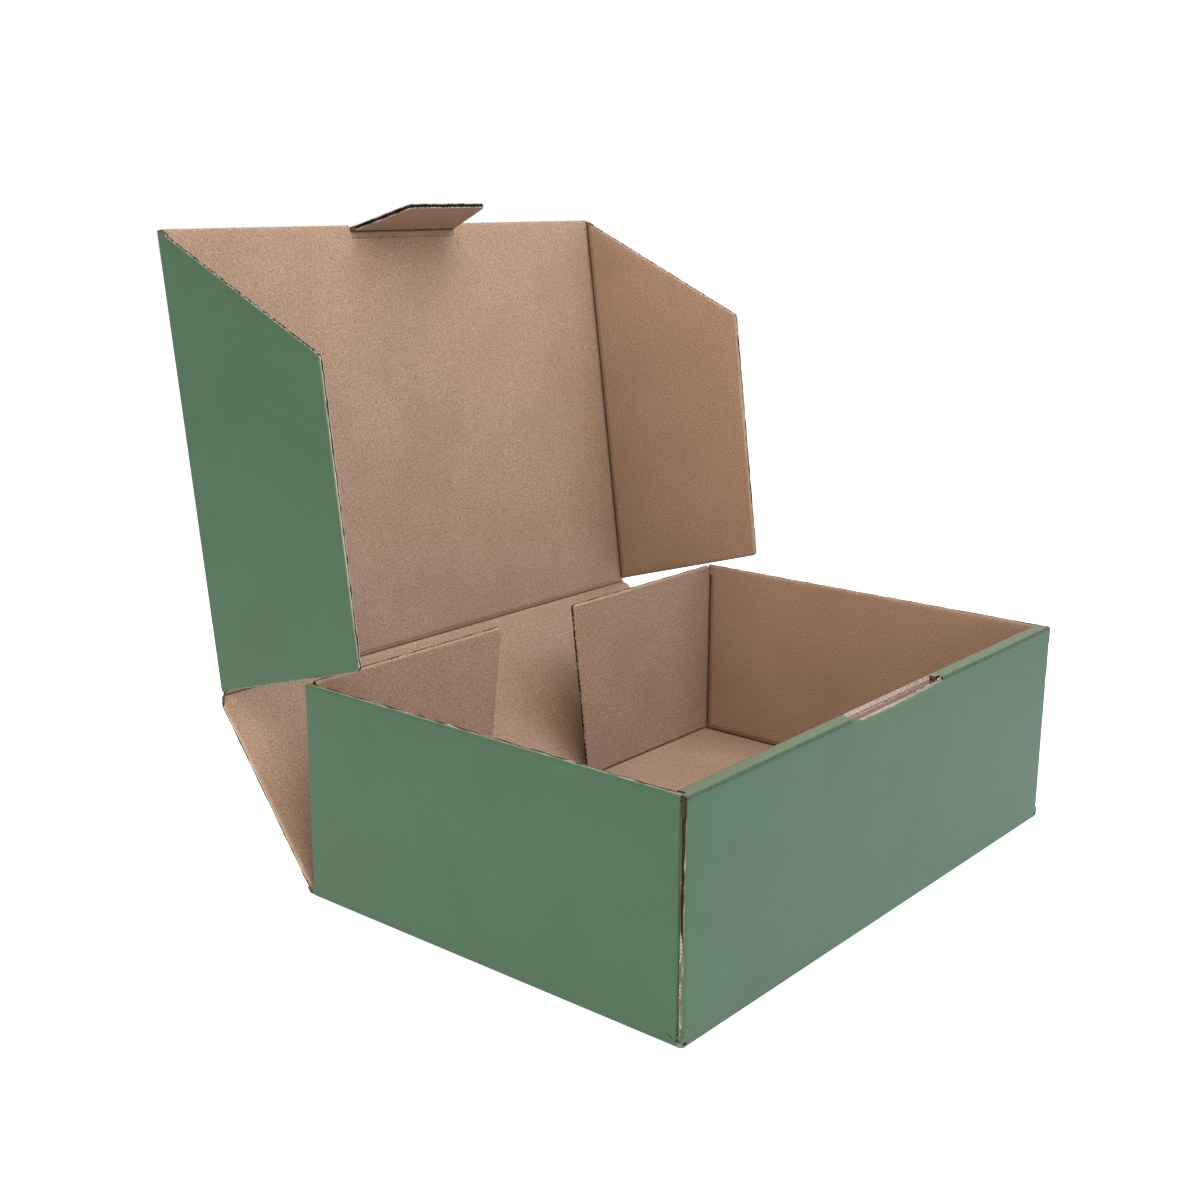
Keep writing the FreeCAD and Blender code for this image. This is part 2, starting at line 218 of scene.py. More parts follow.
@dataclass(frozen=True)
class Paper:
    """A matt paper surface: its colours, how strongly each shows, and its finish.

    `base` and `light` are mottled by the fibres, `dark` comes in clouds and, as a painted shade of
    the washboard, along the flutes, `speck` is on the specks and where the wear is below 0, on
    crushed crease lines and on painted shade, and `worn` is on places that rubbing made pale and on
    the painted highlight of the roll's top. `mottle`, `cloudy` and `ribs` are the shares of the
    first three, and an even pale rub has a share of its own, which also paints that highlight.
    `relief` is the depth of the surface's unevenness in millimetres, and `rib_share` the flutes'
    part in it.
    """

    name: str
    base: str
    light: str
    dark: str
    speck: str
    worn: str
    roughness: float
    specular: float
    mottle: float = 1.0
    cloudy: float = 0.2
    # Share of the dark lines along the flutes: painted shade of the washboard, beside the bump's
    # relief.
    ribs: float = 0.0
    bump: float = 0.4
    pitch: float = FLUTE_PITCH
    # Share of an even pale rub, which on the roll's top paints a highlight.
    even_rub_and_sheen: float = 0.3
    relief: float = 0.1
    rib_share: float = 0.25
    grain: Grain = field(default_factory=Grain)

    def ribbing(self, tree: bpy.types.NodeTree) -> Socket:
        """The wave of the flutes under the liner, read from the panel's own flat plan.

        Args:
            tree: The material's tree.

        Returns:
            A wave from -1 to 1 across the flutes.
        """
        plan = add(tree, "ShaderNodeUVMap", uv_map="plan")
        across = add(tree, "ShaderNodeSeparateXYZ", {0: plan.outputs[0]}).outputs["X"]
        turns = {0: across, 1: 2 * math.pi * METRE / self.pitch}
        angle = add(tree, MATH, turns, operation="MULTIPLY")
        return add(tree, MATH, {0: angle.outputs[0]}, operation="SINE").outputs[0]

    def rub_and_highlight(self, tree: bpy.types.NodeTree, wear_and_painted_light: Socket, fibre: Socket) -> Socket:
        """Where the surface turns pale: a thin even part of worn ink, which on the roll's top also
        paints a highlight, and worn patches broken up by the fibres.

        Args:
            tree: The material's tree.
            wear_and_painted_light: How worn each place is, with the painted highlight of the roll's
                top.
            fibre: The fibre clumps' strength.

        Returns:
            How much of the worn colour shows.
        """
        broken = add(tree, MATH, {0: fibre, 1: 1.6, 2: wear_and_painted_light}, operation="MULTIPLY_ADD")
        edge = {"Value": broken.outputs[0], "From Min": 1.3, "From Max": 1.8}
        patches = add(tree, "ShaderNodeMapRange", edge).outputs[0]
        even = add(tree, "ShaderNodeMapRange", {"Value": wear_and_painted_light, "To Max": self.even_rub_and_sheen}).outputs[0]
        return add(tree, MATH, {0: even, 1: patches}, operation="MAXIMUM").outputs[0]

    def material(self) -> bpy.types.Material:
        """Build the node material: layers of colour laid over the base, and a fine relief.

        Returns:
            The material.
        """
        material, shader = new_material(self.name)
        tree, grain = material.node_tree, self.grain
        fibre, ribs = grain.clumps(tree, grain.fibre), self.ribbing(tree)
        wear_and_painted_light = add(tree, "ShaderNodeAttribute", attribute_name="wear_and_painted_light").outputs["Fac"]
        # Fibre and cloud tones are the paper's own; the dark flute lines are painted shade, and wear
        # below 0 paints crease lines and shade dark.
        ranges = (
            {"Value": fibre, "From Min": 0.35, "From Max": 0.65, "To Max": self.mottle},
            {"Value": grain.clumps(tree, grain.cloud), "From Min": 0.4, "From Max": 0.7,
             "To Max": self.cloudy},
            {"Value": ribs, "From Min": -1.0, "From Max": 1.0, "To Max": self.ribs},
            {"Value": wear_and_painted_light, "From Max": -1.0},
        )
        lit, dim, painted_rib_shade, press_and_shade = (add(tree, "ShaderNodeMapRange", r).outputs[0] for r in ranges)
        layers = ((lit, self.light), (dim, self.dark), (painted_rib_shade, self.dark),
                  (grain.specks(tree), self.speck), (self.rub_and_highlight(tree, wear_and_painted_light, fibre), self.worn),
                  (press_and_shade, self.speck))
        colour = linear(self.base)
        for share, over in layers:
            links = {MIX_FACTOR: share, MIX_UNDER: colour, MIX_OVER: linear(over)}
            colour = add(tree, "ShaderNodeMix", links, data_type="RGBA").outputs[MIX_RESULT]
        height = add(tree, MATH, {0: ribs, 1: self.rib_share, 2: fibre}, operation="MULTIPLY_ADD")
        bump = add(tree, "ShaderNodeBump", {
            "Height": height.outputs[0], "Strength": self.bump, "Distance": self.relief / METRE})
        tree.links.new(colour, shader.inputs["Base Color"])
        tree.links.new(bump.outputs[0], shader.inputs["Normal"])
        shader.inputs["Roughness"].default_value = self.roughness
        shader.inputs["Specular IOR Level"].default_value = self.specular
        return material


def papers() -> list[bpy.types.Material]:
    """Build the box's papers.

    Returns:
        The materials, in the order of Stock.
    """
    made = [
        # Flexo ink on a kraft liner: an even green film, faintly ribbed with painted flute shade, with
        # a low sheen. Its strong even rub also paints the highlight on the roll's top.
        Paper("flexo_print_on_kraft_liner", base="#2A4930", light="#315238", dark="#25412A",
              speck="#232419", worn="#857F64", roughness=0.5, specular=0.34,
              mottle=0.6, cloudy=0.3, ribs=0.06, bump=0.2, even_rub_and_sheen=1.2),
        # Unbleached kraft liner: matt, mottled with fibres, with a few dark specks and a faint painted
        # shade along the flutes.
        Paper("unbleached_kraft_liner", base="#856752", light="#A78C77", dark="#745843",
              speck="#342214", worn="#A8957F", roughness=0.85, specular=0.2,
              mottle=0.9, cloudy=0.2, ribs=0.03, bump=0.6),
        # Recycled fluting medium: darker and duller than the liners.
        Paper("recycled_fluting_medium", base="#332B20", light="#42382A", dark="#272119",
              speck="#1A150F", worn="#6A5C48", roughness=0.95, specular=0.1, bump=0.6),
        # Die-cut edge of a liner: dark crushed fibres, pale where the cutting rule tore them.
        Paper("die_cut_liner_edge", base="#443A2D", light="#554A3A", dark="#332B21",
              speck="#241E16", worn="#A0968A", roughness=0.95, specular=0.1,
              cloudy=0.4, bump=0.6),
        # Torn liner fibres: pale and fluffy.
        Paper("torn_liner_fibre", base="#8C766A", light="#AA968A", dark="#77645A",
              speck="#55463D", worn="#BDAEA2", roughness=0.98, specular=0.05,
              cloudy=0.4, bump=0.8),
    ]
    return [paper.material() for paper in made]


# ---------------------------------------------------------------- board geometry


def unit(vector: np.ndarray) -> np.ndarray:
    """The vector at length 1."""
    return vector / np.linalg.norm(vector)


def smooth(t: np.ndarray) -> np.ndarray:
    """Ease from 0 to 1 as t goes from 0 to 1."""
    t = np.clip(t, 0.0, 1.0)
    return t * t * (3.0 - 2.0 * t)


def ragged(seed: int, *places: np.ndarray) -> np.ndarray:
    """Uneven waves along an edge, from about -1 to 1, the same each run.

    Args:
        seed: Which waves.
        *places: The coordinates that the waves run along, in millimetres.

    Returns:
        One value for each place.
    """
    draw = np.random.default_rng(seed)
    total = np.zeros(np.broadcast_shapes(*(np.shape(p) for p in places)))
    for wavelength in (23.0, 11.0, 6.1, 3.3):
        angle = draw.uniform(0, 2 * math.pi)
        for place in places:
            angle = angle + 2 * math.pi * np.asarray(place) / (wavelength * draw.uniform(0.8, 1.2))
        total = total + np.sin(angle) * draw.uniform(0.3, 0.6)
    return total


def teeth(pitch: float, places: np.ndarray) -> np.ndarray:
    """The zigzag that a toothed cutting rule leaves, from 0 to 1 along an edge.

    Args:
        pitch: The length of one tooth, in millimetres.
        places: The coordinate that runs along the edge, in millimetres.

    Returns:
        One value for each place.
    """
    return np.abs((np.asarray(places) / pitch + 0.5) % 1.0 - 0.5) * 2.0


@dataclass(frozen=True)
class Board:
    """B-flute board, how its creases press it and how a cutting rule pinches its edges.

    `thick`, `liner`, `paper` and `pitch` are its make-up: the whole, a liner, the fluted medium's
    own sheet and the flutes. `reach` is how far a crease bends it to each side, `press` and
    `groove` how deep the kraft side is pressed, and `swell` how far the printed side bulges.
    `core_gap` is how far the medium stays inside, `pinch_reach` and `rub_reach` how far in from a
    cut edge the liners are drawn together and rubbed, and `fray`, `tooth`, `tooth_depth` and
    `ragged` how uneven the edges are. `uneven` is how unevenly the liners are drawn together.
    `torn_sink` and `torn_lift` are how far the kraft liner is pushed in and pulled up where it is
    torn, over `torn_fade`. `wave_rub`, `torn_rub` and `tooth_rub` are how pale the edge's waves,
    tears and teeth are rubbed. `row` is the widest gap between two rows of points.
    """

    thick: float = 3.0
    liner: float = 0.36
    paper: float = 0.26
    pitch: float = FLUTE_PITCH
    flute_steps: float = 12.0
    reach: float = 3.0
    press: float = 0.8
    groove: float = 0.3
    swell: float = 0.2
    arc_steps: int = 8
    straight_steps: int = 3
    core_gap: float = 0.5
    pinch_reach: float = 1.8
    rub_reach: float = 0.7
    edge_rows: tuple[float, ...] = (0.5, 1.0, 1.8)
    edge_shares: tuple[float, ...] = (0.1, 0.2, 0.3)
    fray: float = 0.16
    tooth: float = 3.3
    tooth_depth: float = 0.5
    ragged: float = 0.3
    uneven: float = 0.3
    torn_sink: float = 0.2
    torn_lift: float = 1.1
    torn_fade: float = 3.0
    wave_rub: float = 0.35
    torn_rub: float = 0.3
    tooth_rub: float = 0.4
    row: float = 5.0


@dataclass(frozen=True)
class Place:
    """Where a flat panel lies: an origin on its kraft face and three unit directions."""

    origin: np.ndarray
    across: np.ndarray
    along: np.ndarray
    outward: np.ndarray

    def points(self, a: np.ndarray, b: np.ndarray, n: np.ndarray) -> np.ndarray:
        """Turn flat places to points in the box's frame, one per row."""
        flat = [np.ravel(v)[:, None] for v in np.broadcast_arrays(a, b, n)]
        return self.origin + flat[0] * self.across + flat[1] * self.along + flat[2] * self.outward


@dataclass(frozen=True)
class Outline:
    """A panel's plan: its corners (a, b, radius) in order, anticlockwise."""

    corners: tuple[tuple[float, float, float], ...]

    @classmethod
    def sharp(cls, corners: Sequence[tuple[float, float]]) -> Outline:
        """An outline whose corners aren't rounded."""
        return cls(tuple((a, b, 0.0) for a, b in corners))

    def rim(self) -> np.ndarray:
        """Draw the rim, with an arc at each rounded corner.

        Returns:
            The plan's points in order.
        """
        points = []
        for i, (a, b, radius) in enumerate(self.corners):
            here = np.array((a, b))
            if not radius:
                points.append(here)
                continue
            back = unit(np.array(self.corners[i - 1][:2]) - here)
            onward = unit(np.array(self.corners[(i + 1) % len(self.corners)][:2]) - here)
            half = math.acos(float(back @ onward)) / 2
            centre = here + unit(back + onward) * radius / math.sin(half)
            first = here + back * radius / math.tan(half) - centre
            last = here + onward * radius / math.tan(half) - centre
            sweep = math.pi - 2 * half
            for t in np.linspace(0.0, 1.0, ARC_POINTS):
                weights = math.sin((1 - t) * sweep), math.sin(t * sweep)
                points.append(centre + (first * weights[0] + last * weights[1]) / math.sin(sweep))
        return np.array(points)

    def chains(self) -> tuple[np.ndarray, np.ndarray]:
        """Split the rim at its ends.

        Returns:
            The low and the high edge, each in order of `a`.
        """
        rim = self.rim()
        order = np.lexsort((rim[:, 1], rim[:, 0]))
        rim = np.roll(rim, -order[0], axis=0)
        far = np.flatnonzero(rim[:, 0] >= rim[:, 0].max() - NEAR)[0]
        low, high = rim[: far + 1], rim[far + 1 :][::-1]
        if not len(high) or high[-1, 0] < low[-1, 0] - NEAR:
            high = np.vstack([high, low[-1]])
        if high[0, 0] > low[0, 0] + NEAR:
            high = np.vstack([low[0], high])
        return low, high

    def edges_at(self, a: np.ndarray) -> tuple[np.ndarray, np.ndarray]:
        """The low and the high edge's `b` at each `a`."""
        low, high = self.chains()
        return np.interp(a, low[:, 0], low[:, 1]), np.interp(a, high[:, 0], high[:, 1])

    def stations(self, step: float, extra: Sequence[float] = ()) -> np.ndarray:
        """Places along `a` that show every corner.

        Args:
            step: The widest gap between two places.
            extra: Further places, such as the sides of a hole.

        Returns:
            The places, in order.
        """
        marks = self.rim()[:, 0]
        first, last = marks.min(), marks.max()
        even = np.linspace(first, last, max(2, math.ceil((last - first) / step) + 1))
        even = even[np.min(np.abs(even[:, None] - marks), axis=1) > 0.3 * step]
        return np.unique(np.round([first, last, *marks, *even, *extra], 4))


class Build:
    """Gathers the closed shells of one piece and makes its mesh."""

    def __init__(self) -> None:
        """Start with no faces."""
        self.points: list[np.ndarray] = []
        self.plan: list[np.ndarray] = []
        self.wear_and_painted_light: list[np.ndarray] = []
        self.faces: list[list[int]] = []
        self.stocks: list[int] = []
        self.count = 0

    def shell(self, points: np.ndarray, plan: np.ndarray, faces: Sequence, stocks: Sequence,
              wear_and_painted_light: np.ndarray | None = None) -> None:
        """Add one closed shell.

        Args:
            points: Its points in the box's frame, in millimetres.
            plan: The flat place of each point, across and along the flutes.
            faces: Its faces, as numbers of points.
            stocks: The Stock of each face.
            wear_and_painted_light: How worn each point is, from -1, dark on crushed lines and on
                painted shade, to 1, pale from rubbing and on a painted highlight, or none.
        """
        self.points.append(points)
        self.plan.append(plan)
        self.wear_and_painted_light.append(np.zeros(len(points)) if wear_and_painted_light is None else wear_and_painted_light)
        self.faces += [[self.count + int(i) for i in face] for face in faces]
        self.stocks += [stock.value for stock in stocks]
        self.count += len(points)

    def piece(self, name: str, materials: Sequence[bpy.types.Material]) -> bpy.types.Object:
        """Make the object, with its normals outwards and its plan as a UV map.

        Args:
            name: The piece's name.
            materials: One material for each Stock.

        Returns:
            The object, at the origin.
        """
        mesh = bpy.data.meshes.new(name)
        points = np.vstack(self.points) / METRE
        mesh.from_pydata(points.tolist(), [], self.faces)
        for material in materials:
            mesh.materials.append(material)
        mesh.polygons.foreach_set("material_index", self.stocks)
        corner = np.zeros(len(mesh.loops), np.int32)
        mesh.loops.foreach_get("vertex_index", corner)
        layer = mesh.uv_layers.new(name="plan")
        layer.data.foreach_set("uv", (np.vstack(self.plan)[corner] / METRE).astype(np.float32).ravel())
        # This attribute holds the wear together with painted shade and a painted highlight.
        worn = mesh.attributes.new("wear_and_painted_light", "FLOAT", "POINT")
        worn.data.foreach_set("value", np.concatenate(self.wear_and_painted_light).astype(np.float32))
        work = bmesh.new()
        work.from_mesh(mesh)
        bmesh.ops.recalc_face_normals(work, faces=work.faces)
        work.to_mesh(mesh)
        work.free()
        mesh.polygons.foreach_set("use_smooth", [True] * len(mesh.polygons))
        mesh.set_sharp_from_angle(angle=math.radians(SHARP_ANGLE))
        made = bpy.data.objects.new(name, mesh)
        bpy.context.scene.collection.objects.link(made)
        LOG.info("%s: %d faces", name, len(mesh.polygons))
        return made


def plate(build: Build, upper: np.ndarray, lower: np.ndarray, plan: np.ndarray,
          stocks: tuple[Stock, Stock, Stock], wear_and_painted_light: tuple[np.ndarray, np.ndarray],
          keep: np.ndarray | None = None) -> None:
    """Add a closed plate between two grids of points that face each other.

    Args:
        build: The piece that it joins.
        upper: Points, by row, column and axis.
        lower: The other side's points.
        plan: The flat place of each grid point.
        stocks: What the upper side, the lower side and the rim are.
        wear_and_painted_light: How worn the upper and the lower side are, from -1, dark on crushed
            lines and on painted shade, to 1, pale from rubbing and on a painted highlight.
        keep: Which cells the plate has, by row and column, or all.
    """
    rows, columns = upper.shape[:2]
    size = rows * columns
    if keep is None:
        keep = np.ones((rows - 1, columns - 1), bool)
    padded = np.pad(keep, 1)
    faces, kinds = [], []
    for r, c in np.argwhere(keep):
        i = int(r * columns + c)
        cell = [i, i + 1, i + columns + 1, i + columns]
        faces += [cell, [j + size for j in reversed(cell)]]
        kinds += [stocks[0], stocks[1]]
        sides = ((r, c + 1), (r + 1, c + 2), (r + 2, c + 1), (r + 1, c))
        for k, side in enumerate(sides):
            if not padded[side]:
                one, two = cell[k], cell[(k + 1) % 4]
                faces.append([two, one, one + size, two + size])
                kinds.append(stocks[2])
    used = np.unique(faces)
    renumber = np.zeros(2 * size, int)
    renumber[used] = np.arange(len(used))
    points = np.vstack([upper.reshape(-1, 3), lower.reshape(-1, 3)])[used]
    flat = np.vstack([plan.reshape(-1, 2)] * 2)[used]
    worn = np.concatenate([side.ravel() for side in wear_and_painted_light])[used]
    build.shell(points, flat, renumber[np.array(faces)], kinds, worn)


class FluteTree:
    """Geometry Nodes tree that lays a fluted sheet inside a panel's plan.

    The sheet starts as a flat strip of columns with four rows, numbered -1.5, -0.5, 0.5 and 1.5.
    """

    NUMBERS = ("Pitch", "Depth", "Paper", "Steps", "Reach", "Probe", "Phase", "Ragged", "Seed")
    ROWS = 4
    END_GAP = 0.02
    INNER_SHARE = 0.45  # of the way to the edge, which an inner row's inset stays under
    WALL = 2.0  # height of the walls that the rays meet at half of it
    RAG_WAVES = 0.35  # in a millimetre
    WELD = 0.0005

    def __init__(self) -> None:
        """Build the tree once, for every panel."""
        self.tree = bpy.data.node_groups.new("fluted_medium", "GeometryNodeTree")
        face = self.tree.interface
        face.new_socket(name="Plan", in_out="INPUT", socket_type="NodeSocketGeometry")
        kinds = {name: "NodeSocketFloat" for name in self.NUMBERS}
        kinds["Material"] = "NodeSocketMaterial"
        self.keys = {
            name: face.new_socket(name=name, in_out="INPUT", socket_type=kind).identifier
            for name, kind in kinds.items()
        }
        face.new_socket(name="Sheet", in_out="OUTPUT", socket_type="NodeSocketGeometry")
        self.build()

    def build(self) -> None:
        """Lay out the nodes: a strip of columns is cut to the plan, waved and thickened."""
        tree = self.tree
        given = add(tree, "NodeGroupInput").outputs
        box = add(tree, "GeometryNodeBoundBox", {"Geometry": given["Plan"]})
        low, high = (add(tree, "ShaderNodeSeparateXYZ", {0: box.outputs[end]}).outputs["X"]
                     for end in ("Min", "Max"))
        width = add(tree, MATH, {0: high, 1: low}, operation="SUBTRACT").outputs[0]
        ends = add(tree, MATH, {0: high, 1: low}, operation="ADD").outputs[0]
        middle = add(tree, MATH, {0: ends, 1: 0.5}, operation="MULTIPLY").outputs[0]
        flutes = add(tree, MATH, {0: width, 1: given["Pitch"]}, operation="DIVIDE").outputs[0]
        steps = add(tree, MATH, {0: flutes, 1: given["Steps"], 2: 1.0}, operation="MULTIPLY_ADD")
        count = add(tree, MATH, {0: steps.outputs[0]}, operation="CEIL").outputs[0]
        clear = add(tree, MATH, {0: width, 1: self.END_GAP}, operation="SUBTRACT").outputs[0]
        grid = add(tree, "GeometryNodeMeshGrid", {
            "Size X": clear, "Size Y": self.ROWS - 1.0, "Vertices X": count, "Vertices Y": self.ROWS})
        at = add(tree, "ShaderNodeSeparateXYZ", {0: add(tree, "GeometryNodeInputPosition").outputs[0]})
        across = add(tree, MATH, {0: at.outputs["X"], 1: middle}, operation="ADD").outputs[0]
        along = self.cut(given, across, at.outputs["Y"])
        turns = add(tree, MATH, {0: across, 1: 2 * math.pi}, operation="MULTIPLY").outputs[0]
        turn = add(tree, MATH, {0: turns, 1: given["Pitch"]}, operation="DIVIDE").outputs[0]
        shifted = add(tree, MATH, {0: turn, 1: given["Phase"]}, operation="ADD").outputs[0]
        wave = add(tree, MATH, {0: shifted}, operation="SINE").outputs[0]
        half = add(tree, MATH, {0: given["Depth"], 1: 0.5}, operation="MULTIPLY").outputs[0]
        height = add(tree, MATH, {0: wave, 1: half}, operation="MULTIPLY").outputs[0]
        flat = add(tree, "ShaderNodeCombineXYZ", {0: across, 1: along}).outputs[0]
        rough = add(tree, "ShaderNodeTexNoise",
                    {"Vector": flat, "W": given["Seed"], "Scale": self.RAG_WAVES},
                    noise_dimensions="4D").outputs[0]
        centred = add(tree, MATH, {0: rough, 1: 0.5}, operation="SUBTRACT").outputs[0]
        rag = add(tree, MATH, {0: centred, 1: given["Ragged"]}, operation="MULTIPLY").outputs[0]
        moved = [add(tree, MATH, {0: value, 1: rag}, operation="ADD").outputs[0]
                 for value in (along, height)]
        place = add(tree, "ShaderNodeCombineXYZ", {0: across, 1: moved[0], 2: moved[1]})
        sheet = add(tree, "GeometryNodeSetPosition",
                    {"Geometry": grid.outputs["Mesh"], "Position": place.outputs[0]})
        closed = self.thicken(sheet.outputs[0], given["Paper"])
        real = add(tree, "GeometryNodeRealizeInstances", {"Geometry": closed})
        dressed = add(tree, "GeometryNodeSetMaterial",
                      {"Geometry": real.outputs[0], "Material": given["Material"]})
        add(tree, "NodeGroupOutput", {0: dressed.outputs[0]})

    def cut(self, given: bpy.types.bpy_prop_collection, across: Socket, row: Socket) -> Socket:
        """Find where each point of the strip lies along the flutes.

        Rays from the probe line to both sides find the plan's edges. The strip's outer rows go
        there, and its inner rows stay a short way inside.

        Args:
            given: The tree's inputs.
            across: Each point's place across the flutes.
            row: Each point's row, from below 0 to above 0.

        Returns:
            The place along the flutes.
        """
        tree = self.tree
        side = add(tree, MATH, {0: row}, operation="SIGN").outputs[0]
        size = add(tree, MATH, {0: row}, operation="ABSOLUTE").outputs[0]
        inner = add(tree, MATH, {0: size, 1: 1.0}, operation="LESS_THAN").outputs[0]
        walls = add(tree, "GeometryNodeExtrudeMesh",
                    {"Mesh": given["Plan"], "Offset": (0.0, 0.0, self.WALL)}, mode="EDGES")
        start = add(tree, "ShaderNodeCombineXYZ", {0: across, 1: given["Probe"], 2: self.WALL / 2})
        ray = add(tree, "GeometryNodeRaycast", {
            "Target Geometry": walls.outputs["Mesh"],
            "Source Position": start.outputs[0],
            "Ray Direction": add(tree, "ShaderNodeCombineXYZ", {1: side}).outputs[0],
            "Ray Length": METRE,
        }).outputs
        hit = add(tree, "ShaderNodeSeparateXYZ", {0: ray["Hit Position"]}).outputs["Y"]
        most = {0: ray["Hit Distance"], 1: self.INNER_SHARE}
        most = add(tree, MATH, most, operation="MULTIPLY").outputs[0]
        inset = add(tree, MATH, {0: given["Reach"], 1: most}, operation="MINIMUM").outputs[0]
        for factor in (inner, side):
            inset = add(tree, MATH, {0: inset, 1: factor}, operation="MULTIPLY").outputs[0]
        return add(tree, MATH, {0: hit, 1: inset}, operation="SUBTRACT").outputs[0]

    def thicken(self, sheet: Socket, paper: Socket) -> Socket:
        """Close a sheet to a shell.

        Args:
            sheet: The open sheet.
            paper: The shell's thickness.

        Returns:
            The closed shell.
        """
        tree = self.tree
        front = add(tree, "GeometryNodeExtrudeMesh",
                    {"Mesh": sheet, "Offset Scale": paper, "Individual": False}, mode="FACES")
        back = add(tree, "GeometryNodeFlipFaces", {"Mesh": sheet})
        both = add(tree, "GeometryNodeJoinGeometry")
        for part in (front, back):
            tree.links.new(part.outputs["Mesh"], both.inputs[0])
        welded = {"Geometry": both.outputs[0], "Distance": self.WELD}
        return add(tree, "GeometryNodeMergeByDistance", welded).outputs[0]

    def sheet(self, plan: np.ndarray, material: bpy.types.Material,
              **values: float) -> tuple[np.ndarray, list[list[int]]]:
        """Run the tree on a plan.

        Args:
            plan: The plan's corners in order, one (a, b) per row.
            material: The medium's material.
            **values: The tree's inputs by name.

        Returns:
            The sheet's points as (a, b, height) and its faces.
        """
        mesh = bpy.data.meshes.new("plan")
        corners = np.column_stack([plan, np.zeros(len(plan))])
        mesh.from_pydata(corners.tolist(), [], [list(range(len(plan)))])
        holder = bpy.data.objects.new("plan", mesh)
        bpy.context.scene.collection.objects.link(holder)
        modifier = holder.modifiers.new("flutes", "NODES")
        modifier.node_group = self.tree
        for name, value in values.items():
            modifier[self.keys[name]] = float(value)
        modifier[self.keys["Material"]] = material
        graph = bpy.context.evaluated_depsgraph_get()
        baked = bpy.data.meshes.new_from_object(holder.evaluated_get(graph))
        points = np.zeros(len(baked.vertices) * 3)
        baked.vertices.foreach_get("co", points)
        faces = [list(polygon.vertices) for polygon in baked.polygons]
        holder.modifiers.remove(modifier)
        bpy.data.objects.remove(holder)
        bpy.data.meshes.remove(mesh)
        bpy.data.meshes.remove(baked)
        return points.reshape(-1, 3), faces


